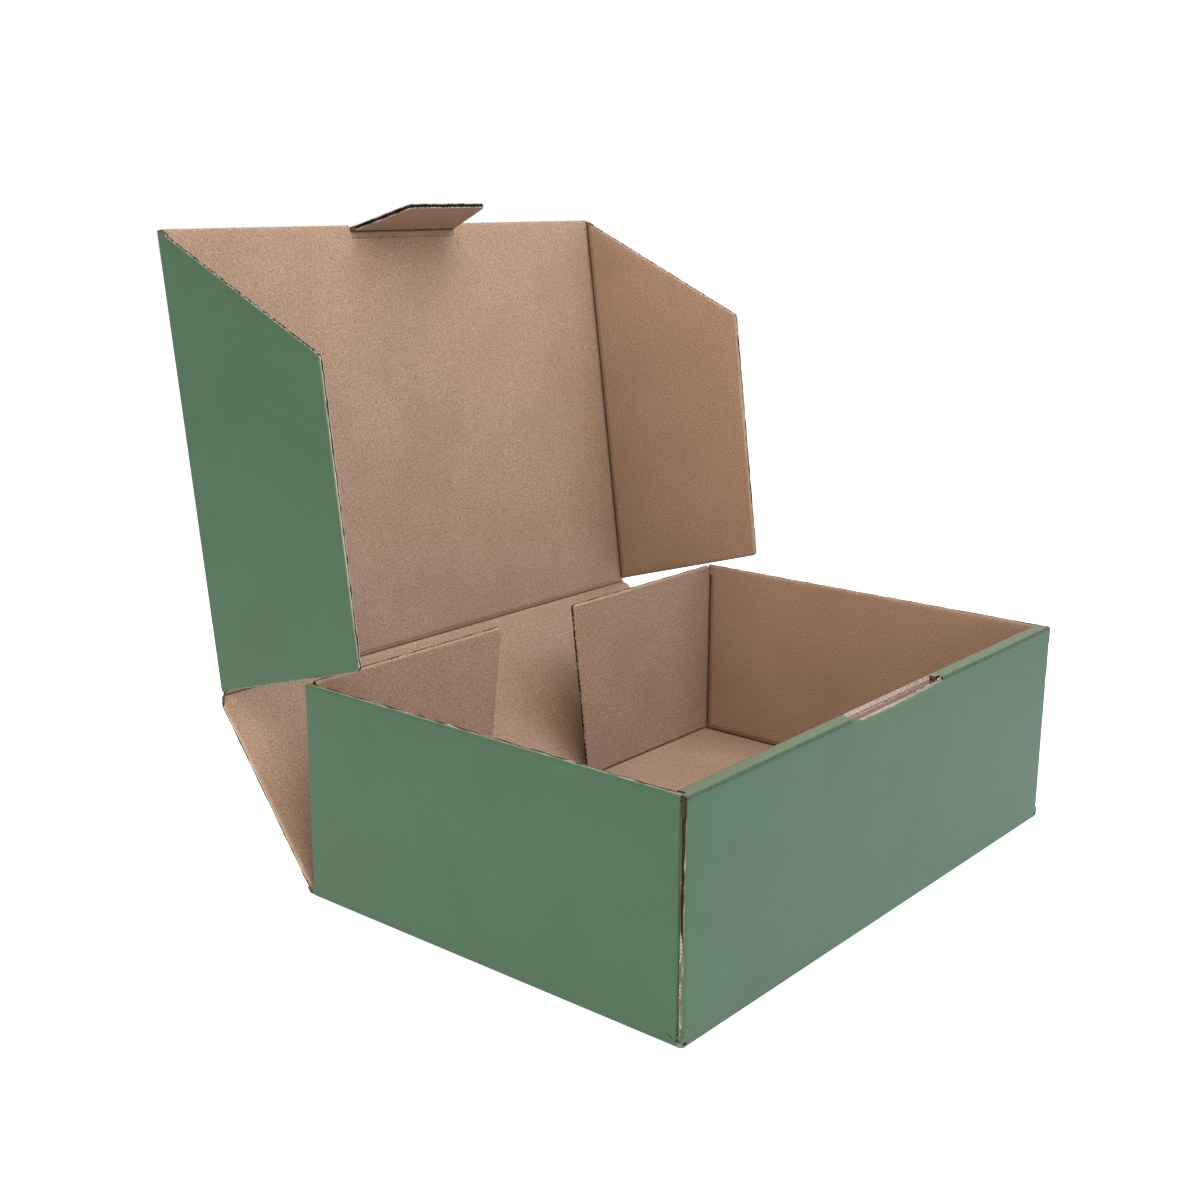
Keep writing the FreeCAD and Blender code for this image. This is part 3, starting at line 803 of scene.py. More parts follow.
@dataclass(frozen=True)
class Panel:
    """A flat stretch of board between its folds and its cut edges.

    `raw` names the cut edges, which fray, and `toothed` the ones whose teeth show. `holes` are cut
    through as (a, b, a, b). `core` is the range of `a` that the medium fills, and `probe` is a `b`
    that lies inside the plan all along it. `scuff` is how pale the cut edges are, `pinch` how far
    each liner is drawn in there, and `torn` the range of `b` where the sides' edges are torn.
    `cell` is the widest gap between two columns of points, and `seed` chooses the edges' waves.
    """

    place: Place
    outline: Outline
    probe: float
    raw: frozenset[Edge] = frozenset()
    holes: tuple[tuple[float, float, float, float], ...] = ()
    core: tuple[float, float] | None = None
    seed: int = 1
    scuff: float = 0.6
    pinch: tuple[float, float] = (0.5, 0.5)
    toothed: frozenset[Edge] = frozenset()
    torn: tuple[float, float] = (0.0, 0.0)
    cell: float = 2.5
    board: Board = field(default_factory=Board)

    def rows(self, low: np.ndarray, high: np.ndarray) -> np.ndarray:
        """Rows of points between the low and the high edge, close together beside them.

        Args:
            low: The low edge's `b` at each column.
            high: The high edge's.

        Returns:
            The `b` of each point, by row and column.
        """
        steps = zip(self.board.edge_rows, self.board.edge_shares)
        near = [np.minimum(step, (high - low) * share) for step, share in steps]
        first, last = low + near[-1], high - near[-1]
        count = max(2, math.ceil(float(np.max(last - first)) / self.board.row) + 1)
        share = [*np.linspace(0.0, 1.0, count)]
        for hole in self.holes:
            share += [(b - first.min()) / (last.max() - first.min()) for b in (hole[1], hole[3])]
        share = np.unique(np.round(share, 6))[:, None]
        return np.vstack([low, low + near[0], low + near[1], first + share * (last - first),
                          high - near[1], high - near[0], high])

    def grid(self) -> tuple[np.ndarray, np.ndarray, np.ndarray]:
        """Flat grid over the plan.

        Returns:
            `a` and `b` of each point, and which cells aren't cut away.
        """
        extra = [value for hole in self.holes for value in (hole[0], hole[2])]
        rim = self.outline.rim()[:, 0]
        if Edge.FIRST in self.raw:
            extra += [rim.min() + step for step in self.board.edge_rows]
        if Edge.LAST in self.raw:
            extra += [rim.max() - step for step in self.board.edge_rows]
        columns = self.outline.stations(self.cell, extra)
        b = self.rows(*self.outline.edges_at(columns))
        a = np.broadcast_to(columns, b.shape).copy()
        keep = np.ones((b.shape[0] - 1, b.shape[1] - 1), bool)
        middle_a, middle_b = (columns[1:] + columns[:-1]) / 2, (b[1:, 1:] + b[:-1, :-1]) / 2
        for first, under, last, over in self.holes:
            inside = (middle_a > first) & (middle_a < last) & (middle_b > under) & (middle_b < over)
            keep &= ~inside
        return a, b, keep

    def from_cut(self, a: np.ndarray, b: np.ndarray) -> np.ndarray:
        """How far each point of the grid is from the nearest cut edge.

        Args:
            a: The grid's places across the flutes.
            b: Its places along them.

        Returns:
            The distances, in millimetres.
        """
        far = np.full_like(a, METRE)
        sides = {Edge.LOW: b - b[0], Edge.HIGH: b[-1] - b,
                 Edge.FIRST: a - a.min(), Edge.LAST: a.max() - a}
        for edge in sorted(self.raw, key=lambda e: e.value):
            far = np.minimum(far, sides[edge])
        return far

    def frayed(self, a: np.ndarray, b: np.ndarray, seed: int) -> tuple[np.ndarray, np.ndarray]:
        """Move the grid's cut edges a little in and out.

        Args:
            a: The grid's places across the flutes.
            b: Its places along them.
            seed: Which waves the edges follow.

        Returns:
            The moved `a` and `b`.
        """
        a, b = a.copy(), b.copy()
        board, ends = self.board, {Edge.LOW: (0, 1.0), Edge.HIGH: (-1, -1.0)}
        for number, (edge, (row, inward)) in enumerate(ends.items()):
            if edge in self.raw:
                bite = board.fray * np.abs(ragged(seed + number, a[row]))
                if edge in self.toothed:
                    bite += board.tooth_depth * teeth(board.tooth, a[row])
                b[row] += inward * bite
        ends = {Edge.FIRST: (0, 1.0), Edge.LAST: (-1, -1.0)}
        for number, (edge, (column, inward)) in enumerate(ends.items()):
            if edge in self.raw:
                bite = board.fray * np.abs(ragged(seed + 2 + number, b[:, column]))
                a[:, column] += inward * bite * (1.0 + 2.0 * self.ripped(b[:, column]))
        return a, b

    def pinched(self, b: np.ndarray) -> np.ndarray:
        """How far each liner is pressed in at the raw edges, at each `b`."""
        rim = self.outline.rim()[:, 1]
        return np.interp(b, (rim.min(), rim.max()), self.pinch)

    def ripped(self, b: np.ndarray) -> np.ndarray:
        """How torn the sides' edges are along `b`, from 0 to 1."""
        (low, high), fade = self.torn, self.board.torn_fade
        return smooth((b - low) / fade) * smooth((high - b) / fade) * (high > low)

    def liners(self, build: Build) -> None:
        """Add the kraft liner and the printed liner, drawn together and rubbed at the cut edges.

        Args:
            build: The piece that they join.
        """
        board = self.board
        flat_a, flat_b, keep = self.grid()
        far = self.from_cut(flat_a, flat_b)
        near, close = 1.0 - smooth(far / board.pinch_reach), 1.0 - smooth(far / board.rub_reach)
        ripped = self.ripped(flat_b)
        liners = ((0.0, 1.0, (Stock.MEDIUM, Stock.KRAFT, Stock.CUT)),
                  (board.thick - board.liner, -1.0, (Stock.PRINT, Stock.MEDIUM, Stock.CUT)))
        for number, (under, inward, stocks) in enumerate(liners):
            a, b = self.frayed(flat_a, flat_b, self.seed + 10 * number)
            waves = ragged(self.seed + 5 + number, a, b)
            torn = ripped * near * (stocks[1] is Stock.KRAFT)
            drawn = self.pinched(b) * near**2 * (1.0 + board.uneven * waves)
            n = under + inward * drawn - board.torn_sink * torn
            sides = [self.place.points(a, b, n + rise).reshape(*a.shape, 3)
                     for rise in (board.liner + board.torn_lift * torn, 0.0)]
            worn = close * (self.scuff + board.wave_rub * waves + board.torn_rub * torn)
            if self.toothed:
                worn += close * board.tooth_rub * (0.5 - teeth(board.tooth, a))
            plate(build, *sides, np.stack([a, b], -1), stocks, (worn, worn), keep)

    def medium(self, build: Build, flutes: FluteTree, stock: bpy.types.Material) -> None:
        """Add the fluted medium between the liners.

        Args:
            build: The piece that it joins.
            flutes: The tree that makes it.
            stock: The medium's material.
        """
        board = self.board
        low, high = self.outline.chains()
        first, last = self.core or (low[0, 0] + board.core_gap, low[-1, 0] - board.core_gap)
        chains = []
        for chain in (low, high):
            inner = chain[(chain[:, 0] > first) & (chain[:, 0] < last)]
            ends = [[a, np.interp(a, chain[:, 0], chain[:, 1])] for a in (first, last)]
            chains.append(np.vstack([ends[:1], inner, ends[1:]]))
        rim = np.vstack([chains[0], chains[1][::-1]])
        clear = board.thick - 2 * board.liner
        points, faces = flutes.sheet(
            rim, stock, Pitch=board.pitch, Depth=clear - board.paper, Paper=board.paper,
            Steps=board.flute_steps, Reach=board.core_gap, Probe=self.probe,
            Phase=0.7 * self.seed, Ragged=board.ragged, Seed=self.seed)
        height = np.clip((points[:, 2] - points[:, 2].min()) / np.ptp(points[:, 2]), 0.0, 1.0)
        low_edge, high_edge = self.outline.edges_at(points[:, 0])
        sides = {Edge.LOW: points[:, 1] - low_edge, Edge.HIGH: high_edge - points[:, 1],
                 Edge.FIRST: points[:, 0] - low[0, 0], Edge.LAST: low[-1, 0] - points[:, 0]}
        far = np.min([sides[edge] for edge in self.raw] or [np.full(len(points), METRE)], axis=0)
        squeeze = self.pinched(points[:, 1]) * (1.0 - smooth(far / board.pinch_reach)) ** 2
        n = board.liner + squeeze + height * (clear - 2 * squeeze)
        build.shell(self.place.points(points[:, 0], points[:, 1], n), points[:, :2],
                    faces, [Stock.MEDIUM] * len(faces))

    def add_to(self, build: Build, flutes: FluteTree, stock: bpy.types.Material) -> None:
        """Add the whole board."""
        self.liners(build)
        self.medium(build, flutes, stock)


@dataclass(frozen=True)
class Flank:
    """One side of a fold: its printed face's direction and where it ends along the line.

    `slopes` say how fast each end moves with the distance from the line.
    """

    outward: np.ndarray
    span: tuple[float, float]
    slopes: tuple[float, float] = (0.0, 0.0)


@dataclass(frozen=True)
class Fold:
    """A crease: the printed liner goes round it as an arc and the kraft liner is pressed into it.

    `rub` is the tone of the printed arc towards its second flank: below 0 dark, as cracked ink with
    a painted shade, above 0 pale wear. `rim` is what its ends are. Places across the fold go from -1
    to 1: the kraft path's are `closer` together at the line, and `valley` is how wide the dark line
    in it is, crushed fibres with a painted shade.
    """

    line: np.ndarray
    along: np.ndarray
    before: Flank
    after: Flank
    rub: float = 0.0
    rim: Stock = Stock.CUT
    closer: float = 1.6
    valley: float = 0.17
    board: Board = field(default_factory=Board)

    def away(self, flank: Flank, other: Flank) -> np.ndarray:
        """The direction in a flank's plane that leads away from the line."""
        return unit((flank.outward @ other.outward) * flank.outward - other.outward)

    def ends(self) -> tuple[np.ndarray, np.ndarray]:
        """Where the printed arc starts and where it ends, in millimetres."""
        radius = self.board.thick
        return self.line + radius * self.before.outward, self.line + radius * self.after.outward

    def sections(self) -> tuple[np.ndarray, np.ndarray, np.ndarray]:
        """The printed and the kraft path across the fold.

        Returns:
            The printed path, the kraft path, both from the line, and each point's place from -1,
            the far end of the first flank, to 1, the far end of the second.
        """
        board = self.board
        one, two = self.before.outward, self.after.outward
        turn = math.acos(float(np.clip(one @ two, -1.0, 1.0)))
        arc = np.linspace(0.0, 1.0, board.arc_steps + 1)
        bends = [(math.sin((1 - t) * turn) * one + math.sin(t * turn) * two) / math.sin(turn)
                 for t in arc]
        away = self.away(self.before, self.after), self.away(self.after, self.before)
        straight = np.linspace(board.reach, 0.0, board.straight_steps + 1)[:-1]
        outer = [board.thick * one + s * away[0] for s in straight]
        outer += [board.thick * min(1.0 + board.swell, 1.0 / max(bend @ one, bend @ two)) * bend
                  for bend in bends]
        outer += [board.thick * two + s * away[1] for s in straight[::-1]]
        share = np.linspace(-1.0, 1.0, len(outer))
        inner = []
        for place in share:
            side = int(place > 0)
            distance = board.reach * abs(place) ** self.closer
            sunk = board.press * (1.0 - smooth(distance / board.reach))
            if abs(place) < NEAR:
                inner.append(unit(one + two) * (board.press + board.groove))
            else:
                inner.append(away[side] * distance + (one, two)[side] * sunk)
        return np.array(outer), np.array(inner), share

    def add_to(self, build: Build, rows: int = 2) -> None:
        """Add the fold as one closed strip of crushed board.

        Args:
            build: The piece that it joins.
            rows: Points along the line.
        """
        outer, inner, share = self.sections()
        board, reach = self.board, self.board.reach
        limits = []
        bent = board.arc_steps / (board.arc_steps + 2 * board.straight_steps)
        for place in share:
            distance = reach * max(0.0, (abs(place) - bent) / (1.0 - bent))
            flanks = [[flank.span[k] + flank.slopes[k] * distance * (place * sign > 0) for k in (0, 1)]
                      for flank, sign in ((self.before, -1), (self.after, 1))]
            weight = float(smooth(0.5 + place))
            limits.append([(1 - weight) * flanks[0][k] + weight * flanks[1][k] for k in (0, 1)])
        limits = np.array(limits)
        t = np.linspace(0.0, 1.0, rows)[:, None]
        runs = limits[:, 0] * (1 - t) + limits[:, 1] * t
        sides = [self.line + path[None] + runs[..., None] * self.along for path in (outer, inner)]
        plan = np.stack([runs, np.broadcast_to(share * reach, runs.shape)], -1)
        # A painted shade darkens the kraft liner along the crease's valley, with its crushed fibres.
        dark = np.broadcast_to(-np.exp(-((share / self.valley) ** 2)), runs.shape)
        arc = np.broadcast_to(self.rub * smooth(2.0 * share), runs.shape)
        plate(build, *sides, plan, (Stock.PRINT, Stock.KRAFT, self.rim), (arc, dark))


@dataclass(frozen=True)
class CrushedCorner:
    """The floor's rounded corner between two of its folds.

    `swell` is how far it bulges, as a share of its radius, `hollow` the radius of its inside and
    `rub` its wear. Its last row stops at `top`, a little short of a quarter turn.
    """

    middle: np.ndarray
    side: int
    radius: float = 3.0
    swell: float = 1.25
    hollow: float = 1.2
    rub: float = 0.3
    top: float = 0.48 * math.pi

    def add_to(self, build: Build) -> None:
        """Add the corner as a closed eighth of a ball.

        Args:
            build: The piece that it joins.
        """
        angles = np.linspace(0.0, 0.5 * math.pi, 9), np.linspace(0.0, self.top, 8)
        turn, tilt = np.meshgrid(*angles, indexing="ij")
        ray = np.stack([self.side * np.cos(turn) * np.cos(tilt), -np.sin(turn) * np.cos(tilt),
                        -np.sin(tilt)], -1)
        full = np.minimum(self.swell, 1.0 / np.abs(ray).max(axis=-1, keepdims=True))
        pale = np.full(turn.shape, self.rub)
        plate(build, self.middle + self.radius * full * ray, self.middle + self.hollow * ray,
              np.stack([turn, tilt], -1), (Stock.PRINT,) * 3, (pale, pale))


# ---------------------------------------------------------------- the box


@dataclass(frozen=True)
class Hinge:
    """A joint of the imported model: its place in millimetres, its direction and its bodies."""

    point: np.ndarray
    axis: np.ndarray
    parent: str
    child: str


@dataclass(frozen=True)
class Kit:
    """What every sub-assembly needs: the papers, the flute tree and the model's hinges."""

    materials: list[bpy.types.Material]
    flutes: FluteTree
    hinges: dict[str, Hinge]
    board: Board

    def dress(self, build: Build, name: str) -> bpy.types.Object:
        """Make a gathered piece.

        Args:
            build: What was gathered.
            name: The piece's name.

        Returns:
            The piece.
        """
        piece = build.piece(name, self.materials)
        return piece

    def boards(self, name: str, body: str, panels: Sequence[Panel],
               folds: Sequence[Fold | CrushedCorner] = ()) -> bpy.types.Object:
        """Make one piece of panels and of folds that don't move.

        Args:
            name: The piece's name.
            body: The body that it rides on.
            panels: Its flat panels.
            folds: Its fixed folds and corners.

        Returns:
            The piece.
        """
        build = Build()
        for panel in panels:
            panel.add_to(build, self.flutes, self.materials[Stock.MEDIUM.value])
        for fold in folds:
            fold.add_to(build)
        piece = self.dress(build, name)
        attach(piece, body)
        return piece

    def crease(self, name: str, hinge: Hinge, fold: Fold) -> bpy.types.Object:
        """Make the strip of board at a hinge's crease, in its shape at rest.

        Args:
            name: The piece's name.
            hinge: The joint that it crosses; not used.
            fold: Its shape at rest.

        Returns:
            The piece.
        """
        build = Build()
        fold.add_to(build, rows=24)
        piece = self.dress(build, name)
        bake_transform(piece)
        return piece


@dataclass(frozen=True)
class Roll:
    """The front wall's double fold over the trapped flaps, torn open over the tab's slot.

    Its section is two paths, of the printed and of the kraft side, from the front wall over the
    strip to the inner wall. A place on the paths is counted in their points: the front crease's
    arc runs from 5 to 11, the strip from 11 to 14 and the rear crease's arc from 14 to 20. Wear
    goes from -1, dark, to 1, pale. The four numbers after `tooth` set the strip's worn ink, which
    also paints a highlight on its top, the front crease's crushed line, which also paints a shade
    under the strip, a painted shade at the fold's cut end, and how much paler the slot's right end
    is. The front lip ends at `uncut_lip` at the slot's left end and at `torn_lip` after `opening`,
    and the rear one leaves the strip over `parting`. `tooth` is the rear lip's.
    """

    board: Board
    front: float
    rear: float
    base: float
    skirt: float
    outer_half: float
    inner_half: float
    slot_half: float = 44.5
    tooth: float = 3.3
    # The strip's worn ink, which also paints a highlight on its top.
    rub_and_highlight: float = 0.26
    # The front crease's crushed line, which also paints a shade under the strip.
    press_and_shade: float = 0.5
    # A painted shade at the fold's cut end.
    end_shade: float = 0.8
    slot_pale: float = 0.8
    uncut_lip: float = 8.4
    torn_lip: float = 5.2
    opening: float = 13.0
    parting: float = 3.0
    lip_columns: int = 12

    def paths(self) -> tuple[np.ndarray, np.ndarray]:
        """Draw the section.

        Returns:
            The printed and the kraft path, point for point, as y and z.
        """
        board, front, rear, base = self.board, self.front, self.rear, self.base
        radius, groove = board.thick, 0.7 * (board.press + board.groove)
        quarter = np.linspace(0.0, math.pi / 2, ARC_POINTS)
        drops = (self.skirt, 5.0, 3.5, 2.2, 1.1)
        outer = [(front - radius, base - drop) for drop in drops]
        for t in quarter:
            bulge = radius * min(1.0 + board.swell, 1.0 / max(math.cos(t), math.sin(t)))
            outer.append((front - bulge * math.cos(t), base + bulge * math.sin(t)))
        outer += [(front + 0.2, base + radius), (front + 0.5, base + radius)]
        outer += [(rear + radius * math.sin(t), base + radius * math.cos(t)) for t in quarter]
        outer += [(rear + radius, base - board.reach)]
        bend = ((0.0, -0.4), (-0.5, 0.1), (-0.8, 0.5), (-groove, groove), (-0.5, 0.9), (0.2, 0.75),
                (0.9, 0.2))
        inner = [(front, base - drop) for drop in drops]
        inner += [(front + dy, base + dz) for dy, dz in bend]
        inner += [(front + 1.1, base + 0.15), (front + 1.4, base + 0.1)]
        inner += [(rear - dy, base + dz) for dy, dz in reversed(bend)]
        inner += [(rear, base - board.reach)]
        return np.array(outer), np.array(inner)

    def add_strip(self, build: Build, x: np.ndarray, first: np.ndarray, last: np.ndarray,
                  wear_and_painted_light: np.ndarray, rim: Stock, keep: np.ndarray | None = None) -> None:
        """Add a stretch of the fold as two liners round a crushed core, or as torn board.

        Args:
            build: The piece that it joins.
            x: Where each row's points are, by row and column.
            first: Where on the paths each row starts.
            last: Where it ends.
            wear_and_painted_light: How worn the printed side is, by row and column, with its painted
                shade and highlight.
            rim: What its cut edges are.
            keep: Which cells it has, or all.
        """
        t = np.linspace(0.0, 1.0, x.shape[1])
        index = first[:, None] * (1 - t) + last[:, None] * t
        outer, inner = ([np.interp(index, np.arange(len(path)), path[:, k]) for k in (0, 1)]
                        for path in self.paths())
        plan = np.stack([x, index], -1)
        # Each layer's place, as a share of the way from the kraft path to the printed one.
        layers = ((0.87, 1.0, Stock.PRINT, Stock.MEDIUM), (0.18, 0.82, Stock.MEDIUM, Stock.MEDIUM),
                  (0.0, 0.13, Stock.MEDIUM, Stock.KRAFT))
        if rim is Stock.TORN:
            layers = ((0.0, 1.0, Stock.PRINT, Stock.TORN),)
        for low, high, above, below in layers:
            sides = [np.stack([x, *(i + share * (o - i) for o, i in zip(outer, inner))], -1)
                     for share in (high, low)]
            edge = Stock.MEDIUM if above is Stock.MEDIUM and low else rim
            plate(build, *sides, plan, (above, below, edge), (wear_and_painted_light, 0.3 * np.abs(wear_and_painted_light)), keep)

    def side(self, build: Build, side: int) -> None:
        """Add the whole fold on one side of the slot; a hole is torn beside the slot's right end.

        Args:
            build: The piece that it joins.
            side: -1 for the left, 1 for the right.
        """
        outer = self.paths()[0]
        count, place = len(outer), np.arange(len(outer))
        far = np.where(outer[:, 0] < self.front + 0.3, self.outer_half, self.inner_half)
        # Rows are close together at the slot's end, for the hole, and at the fold's cut end.
        t = np.r_[np.linspace(0.0, 0.032, 5), np.linspace(0.045, 0.985, 60), 0.993, 0.997, 1.0]
        x = side * (self.slot_half * (1 - t[:, None]) + far * t[:, None])
        # Pale worn ink with a painted highlight from the crease on, dark along the crease's line,
        # crushed with a painted shade, and a painted shade at the fold's cut end.
        wear_and_painted_light = self.rub_and_highlight * smooth((place - 7.5) / 1.5) * (place < count - 3)
        line = -self.press_and_shade * np.exp(-((place - 6.8) / 0.9) ** 2)
        wear_and_painted_light = wear_and_painted_light + line * (1.0 + 0.3 * ragged(40 + side, x, place[None] * 1.0))
        wear_and_painted_light = wear_and_painted_light - self.end_shade * np.exp(-(((far - np.abs(x)) / 0.6) ** 2)) * (place < 12)
        keep = np.ones((len(t) - 1, count - 1), bool)
        if side > 0:
            wear_and_painted_light = wear_and_painted_light + self.slot_pale * np.exp(-(np.abs(x) - self.slot_half) / 0.8) * (place > 6)
            keep[0:2, 7:12] = False
        self.add_strip(build, x, np.zeros(len(t)), np.full(len(t), count - 1.0),
                       np.clip(wear_and_painted_light, -1, 1), Stock.MEDIUM, keep)

    def slot(self, build: Build) -> None:
        """Add the slot's two torn lips: the low front one and the toothed rear one.

        Args:
            build: The piece that they join.
        """
        across = np.linspace(-self.slot_half, self.slot_half, 180)
        from_left = across + self.slot_half
        opening, rising = smooth(from_left / self.opening), self.rising(across)[:, None]
        x = np.broadcast_to(across[:, None], (len(across), self.lip_columns))
        columns = np.linspace(0.0, 1.0, self.lip_columns)
        # The front lip is torn off low on the crease's arc, and rises towards the right.
        torn = self.torn_lip + 2.0 * rising[:, 0]
        lip = self.uncut_lip * (1 - opening) + opening * torn + 0.25 * ragged(44, across / 1.7)
        self.add_strip(build, x, np.zeros(len(across)), np.clip(lip, 4.4, 11.0),
                       columns ** 9 * (0.25 + 0.6 * rising), Stock.TORN)
        # The rear lip is cut with a toothed rule in the rear crease's arc.
        zigzag = 0.5 - 0.5 * np.cos(2 * math.pi * across / self.tooth)
        joined = 1.0 - smooth(from_left / self.parting)
        lip = 14.0 + opening * (0.9 + 0.5 * zigzag + 0.15 * ragged(45, across / 1.3)) - 2.6 * joined
        self.add_strip(build, x, lip, np.full(len(across), len(self.paths()[0]) - 1.0),
                       columns[::-1] ** 2 * (0.2 + 0.5 * rising), Stock.TORN)

    def rising(self, x: np.ndarray | float) -> np.ndarray:
        """How far the front lip has risen at each `x`, from 0 at the middle to 1 at the right."""
        return smooth((x - 5.0) / 38.0)

    def flecks(self, build: Build, count: int = 60) -> None:
        """Scatter torn curls of liner along the slot's lips.

        Args:
            build: The piece that they join.
            count: How many there are.
        """
        draw, outer = np.random.default_rng(47), self.paths()[0]
        thick = np.array((0.0, -0.1, 0.07))
        u, v = np.meshgrid(np.linspace(-1, 1, 5), np.linspace(-1, 1, 3), indexing="ij")
        for number in range(count):
            # Three in four lie towards the right, and one in three on the rear lip.
            x = draw.uniform(14.0, 45.0) if number % 4 > 0 else draw.uniform(-40.0, 14.0)
            rear = number % 3 == 0
            lip = 15.0 if rear else 5.4 + 1.9 * float(self.rising(x))
            y, z = (np.interp(lip, range(len(outer)), outer[:, k]) for k in (0, 1))
            y, z = (y - 0.5, z - 0.1) if rear else (y + 0.75, z + draw.uniform(-0.3, 0.5))
            long, wide = draw.uniform(0.5, 1.5), draw.uniform(0.25, 0.6)
            turn = draw.uniform(0.0, math.pi)
            wide_here = wide * (1.0 - 0.55 * u**2) * v
            du = long * u * math.cos(turn) - wide_here * math.sin(turn)
            dv = long * u * math.sin(turn) + wide_here * math.cos(turn)
            lift = draw.uniform(0.2, 0.6) * (u**2 + 0.4 * v**2)
            middle = np.stack([x + du, y - 0.4 * lift, z + 0.5 * dv + 0.5 * lift], -1)
            plan = np.stack([x + du, dv], -1)
            pale = np.full(u.shape, draw.uniform(0.3, 1.0))
            plate(build, middle + thick, middle - thick, plan, (Stock.TORN,) * 3, (pale, pale))

    def add_to(self, build: Build) -> None:
        """Add the whole roll.

        Args:
            build: The piece that it joins.
        """
        for side in (-1, 1):
            self.side(build, side)
        self.slot(build)
        self.flecks(build)


@dataclass(frozen=True)
class Tray:
    """Base of the box: floor, side walls, rolled front wall and its locks.

    `gap` is the air between layers that lie on each other, `shy` what a free side stands back by,
    `play` the inner front wall's room at each side and `skirt` the height of the front wall that
    belongs to its roll. `ear` is how far a side wall's top reaches past its rear crease, and
    `relief` the height where it starts to. `trapped_ends` are the places of a trapped flap's free
    edge at its foot, under its cut corner and at its top.
    """

    width: float = 350.0
    depth: float = 245.0
    height: float = 117.0
    gap: float = 0.3
    shy: float = 0.1
    play: float = 1.0
    skirt: float = 7.0
    lock_centre: float = 90.0
    lock_half: float = 19.7
    lock_taper: float = 0.2
    ear: float = 2.2
    relief: float = 110.4
    trapped_ends: tuple[float, float, float] = (45.0, 36.0, 47.0)
    trapped_cut: float = 8.0
    board: Board = field(default_factory=Board)

    @property
    def inner_half(self) -> float:
        """The side walls' kraft faces, from the middle."""
        return self.width / 2 - self.board.thick

    @property
    def lip_half(self) -> float:
        """The ends of the printed front wall, from the middle."""
        return self.width / 2 - self.shy

    @property
    def front(self) -> float:
        """The printed front wall's kraft face."""
        return self.board.thick - self.depth / 2

    @property
    def trap(self) -> float:
        """The trapped flaps' kraft faces."""
        return self.front + self.board.thick + self.gap

    @property
    def roll_rear(self) -> float:
        """The inner front wall's kraft face."""
        return self.trap + self.gap

    @property
    def roll_base(self) -> float:
        """The height of the roll's creases."""
        return self.height - self.board.thick

    @property
    def foot(self) -> float:
        """The height of an edge that stands on the floor."""
        return self.board.thick + self.gap

    def floor(self) -> Panel:
        """The floor between its folds, with the two lock slots.

        Returns:
            The panel.
        """
        reach, half = self.board.reach, self.lock_half + self.gap
        side, front, rear = self.inner_half - reach, self.front + reach, -self.front - reach
        slot_rear = self.roll_rear + self.board.thick + self.gap
        return Panel(Place(np.array((0.0, 0.0, self.board.thick)), X, Y, -Z),
                     Outline.sharp(((-side, front), (side, front), (side, rear), (-side, rear))), 0.0,
                     holes=tuple((centre - half, self.trap, centre + half, slot_rear)
                                 for centre in (-self.lock_centre, self.lock_centre)),
                     core=(-side + 1, side - 1), seed=3)

    def side_wall(self, side: int) -> Panel:
        """A side wall, with flutes that run front to rear.

        Args:
            side: -1 for the left, 1 for the right.

        Returns:
            The panel.
        """
        board = self.board
        low, top = board.thick + board.reach, self.roll_base - self.gap
        front, rear = self.trap + board.reach, -self.trap - board.reach
        tip, ear = self.trap - board.thick + self.shy, -self.trap + self.ear
        corners = ((low, front), (top, front), (top + 0.1, tip), (self.height, tip),
                   (self.height, ear), (self.relief + 0.2, ear), (self.relief, rear), (low, rear))
        return Panel(Place(np.array((side * self.inner_half, 0.0, 0.0)), Z, Y, side * X),
                     Outline.sharp(corners), 0.0, raw=frozenset({Edge.LAST}), seed=5 + side, scuff=0.7,
                     pinch=(0.75, 0.75))

    def outer_front(self) -> Panel:
        """The printed front wall up to its roll.

        Returns:
            The panel.
        """
        side, low = self.lip_half, self.board.thick + self.board.reach
        top = self.roll_base - self.skirt
        return Panel(Place(np.array((0.0, self.front, 0.0)), X, Z, -Y),
                     Outline.sharp(((-side, low), (side, low), (side, top), (-side, top))), 50.0,
                     raw=frozenset({Edge.FIRST, Edge.LAST}), seed=8, scuff=0.3,
                     pinch=(0.95, 0.15), torn=(6.0, 54.0))

    def inner_front(self) -> Panel:
        """The panel behind the front wall, with its two locking tabs.

        Returns:
            The panel.
        """
        side, low, top = self.inner_half - self.play, self.foot, self.roll_base - self.board.reach
        corners = [(-side, low)]
        for centre in (-self.lock_centre, self.lock_centre):
            for end in (-1, 1):
                neck = (centre + end * (self.lock_half + self.lock_taper), low)
                tip = (centre + end * self.lock_half, self.gap)
                corners += [neck, tip] if end < 0 else [tip, neck]
        corners += [(side, low), (side, top), (-side, top)]
        return Panel(Place(np.array((0.0, self.roll_rear, 0.0)), X, Z, Y), Outline.sharp(corners), 50.0,
                     raw=frozenset({Edge.FIRST, Edge.LAST, Edge.LOW}), seed=9)

    def trapped_flap(self, side: int) -> Panel:
        """A flap of the side wall that the front wall is rolled over.

        Args:
            side: -1 for the left, 1 for the right.

        Returns:
            The panel.
        """
        low, high = self.foot, self.roll_base - self.gap
        start, (foot, knee, head) = self.inner_half - self.board.reach, self.trapped_ends
        corners = [(low, -start), (high, -start), (high, -head), (high - self.trapped_cut, -knee),
                   (low, -foot)]
        if side > 0:
            corners = [(a, -b) for a, b in reversed(corners)]
        free = Edge.HIGH if side < 0 else Edge.LOW
        return Panel(Place(np.array((0.0, self.trap, 0.0)), Z, X, -Y), Outline.sharp(corners),
                     100.0 * side, raw=frozenset({Edge.LAST, free}), seed=12 + side)

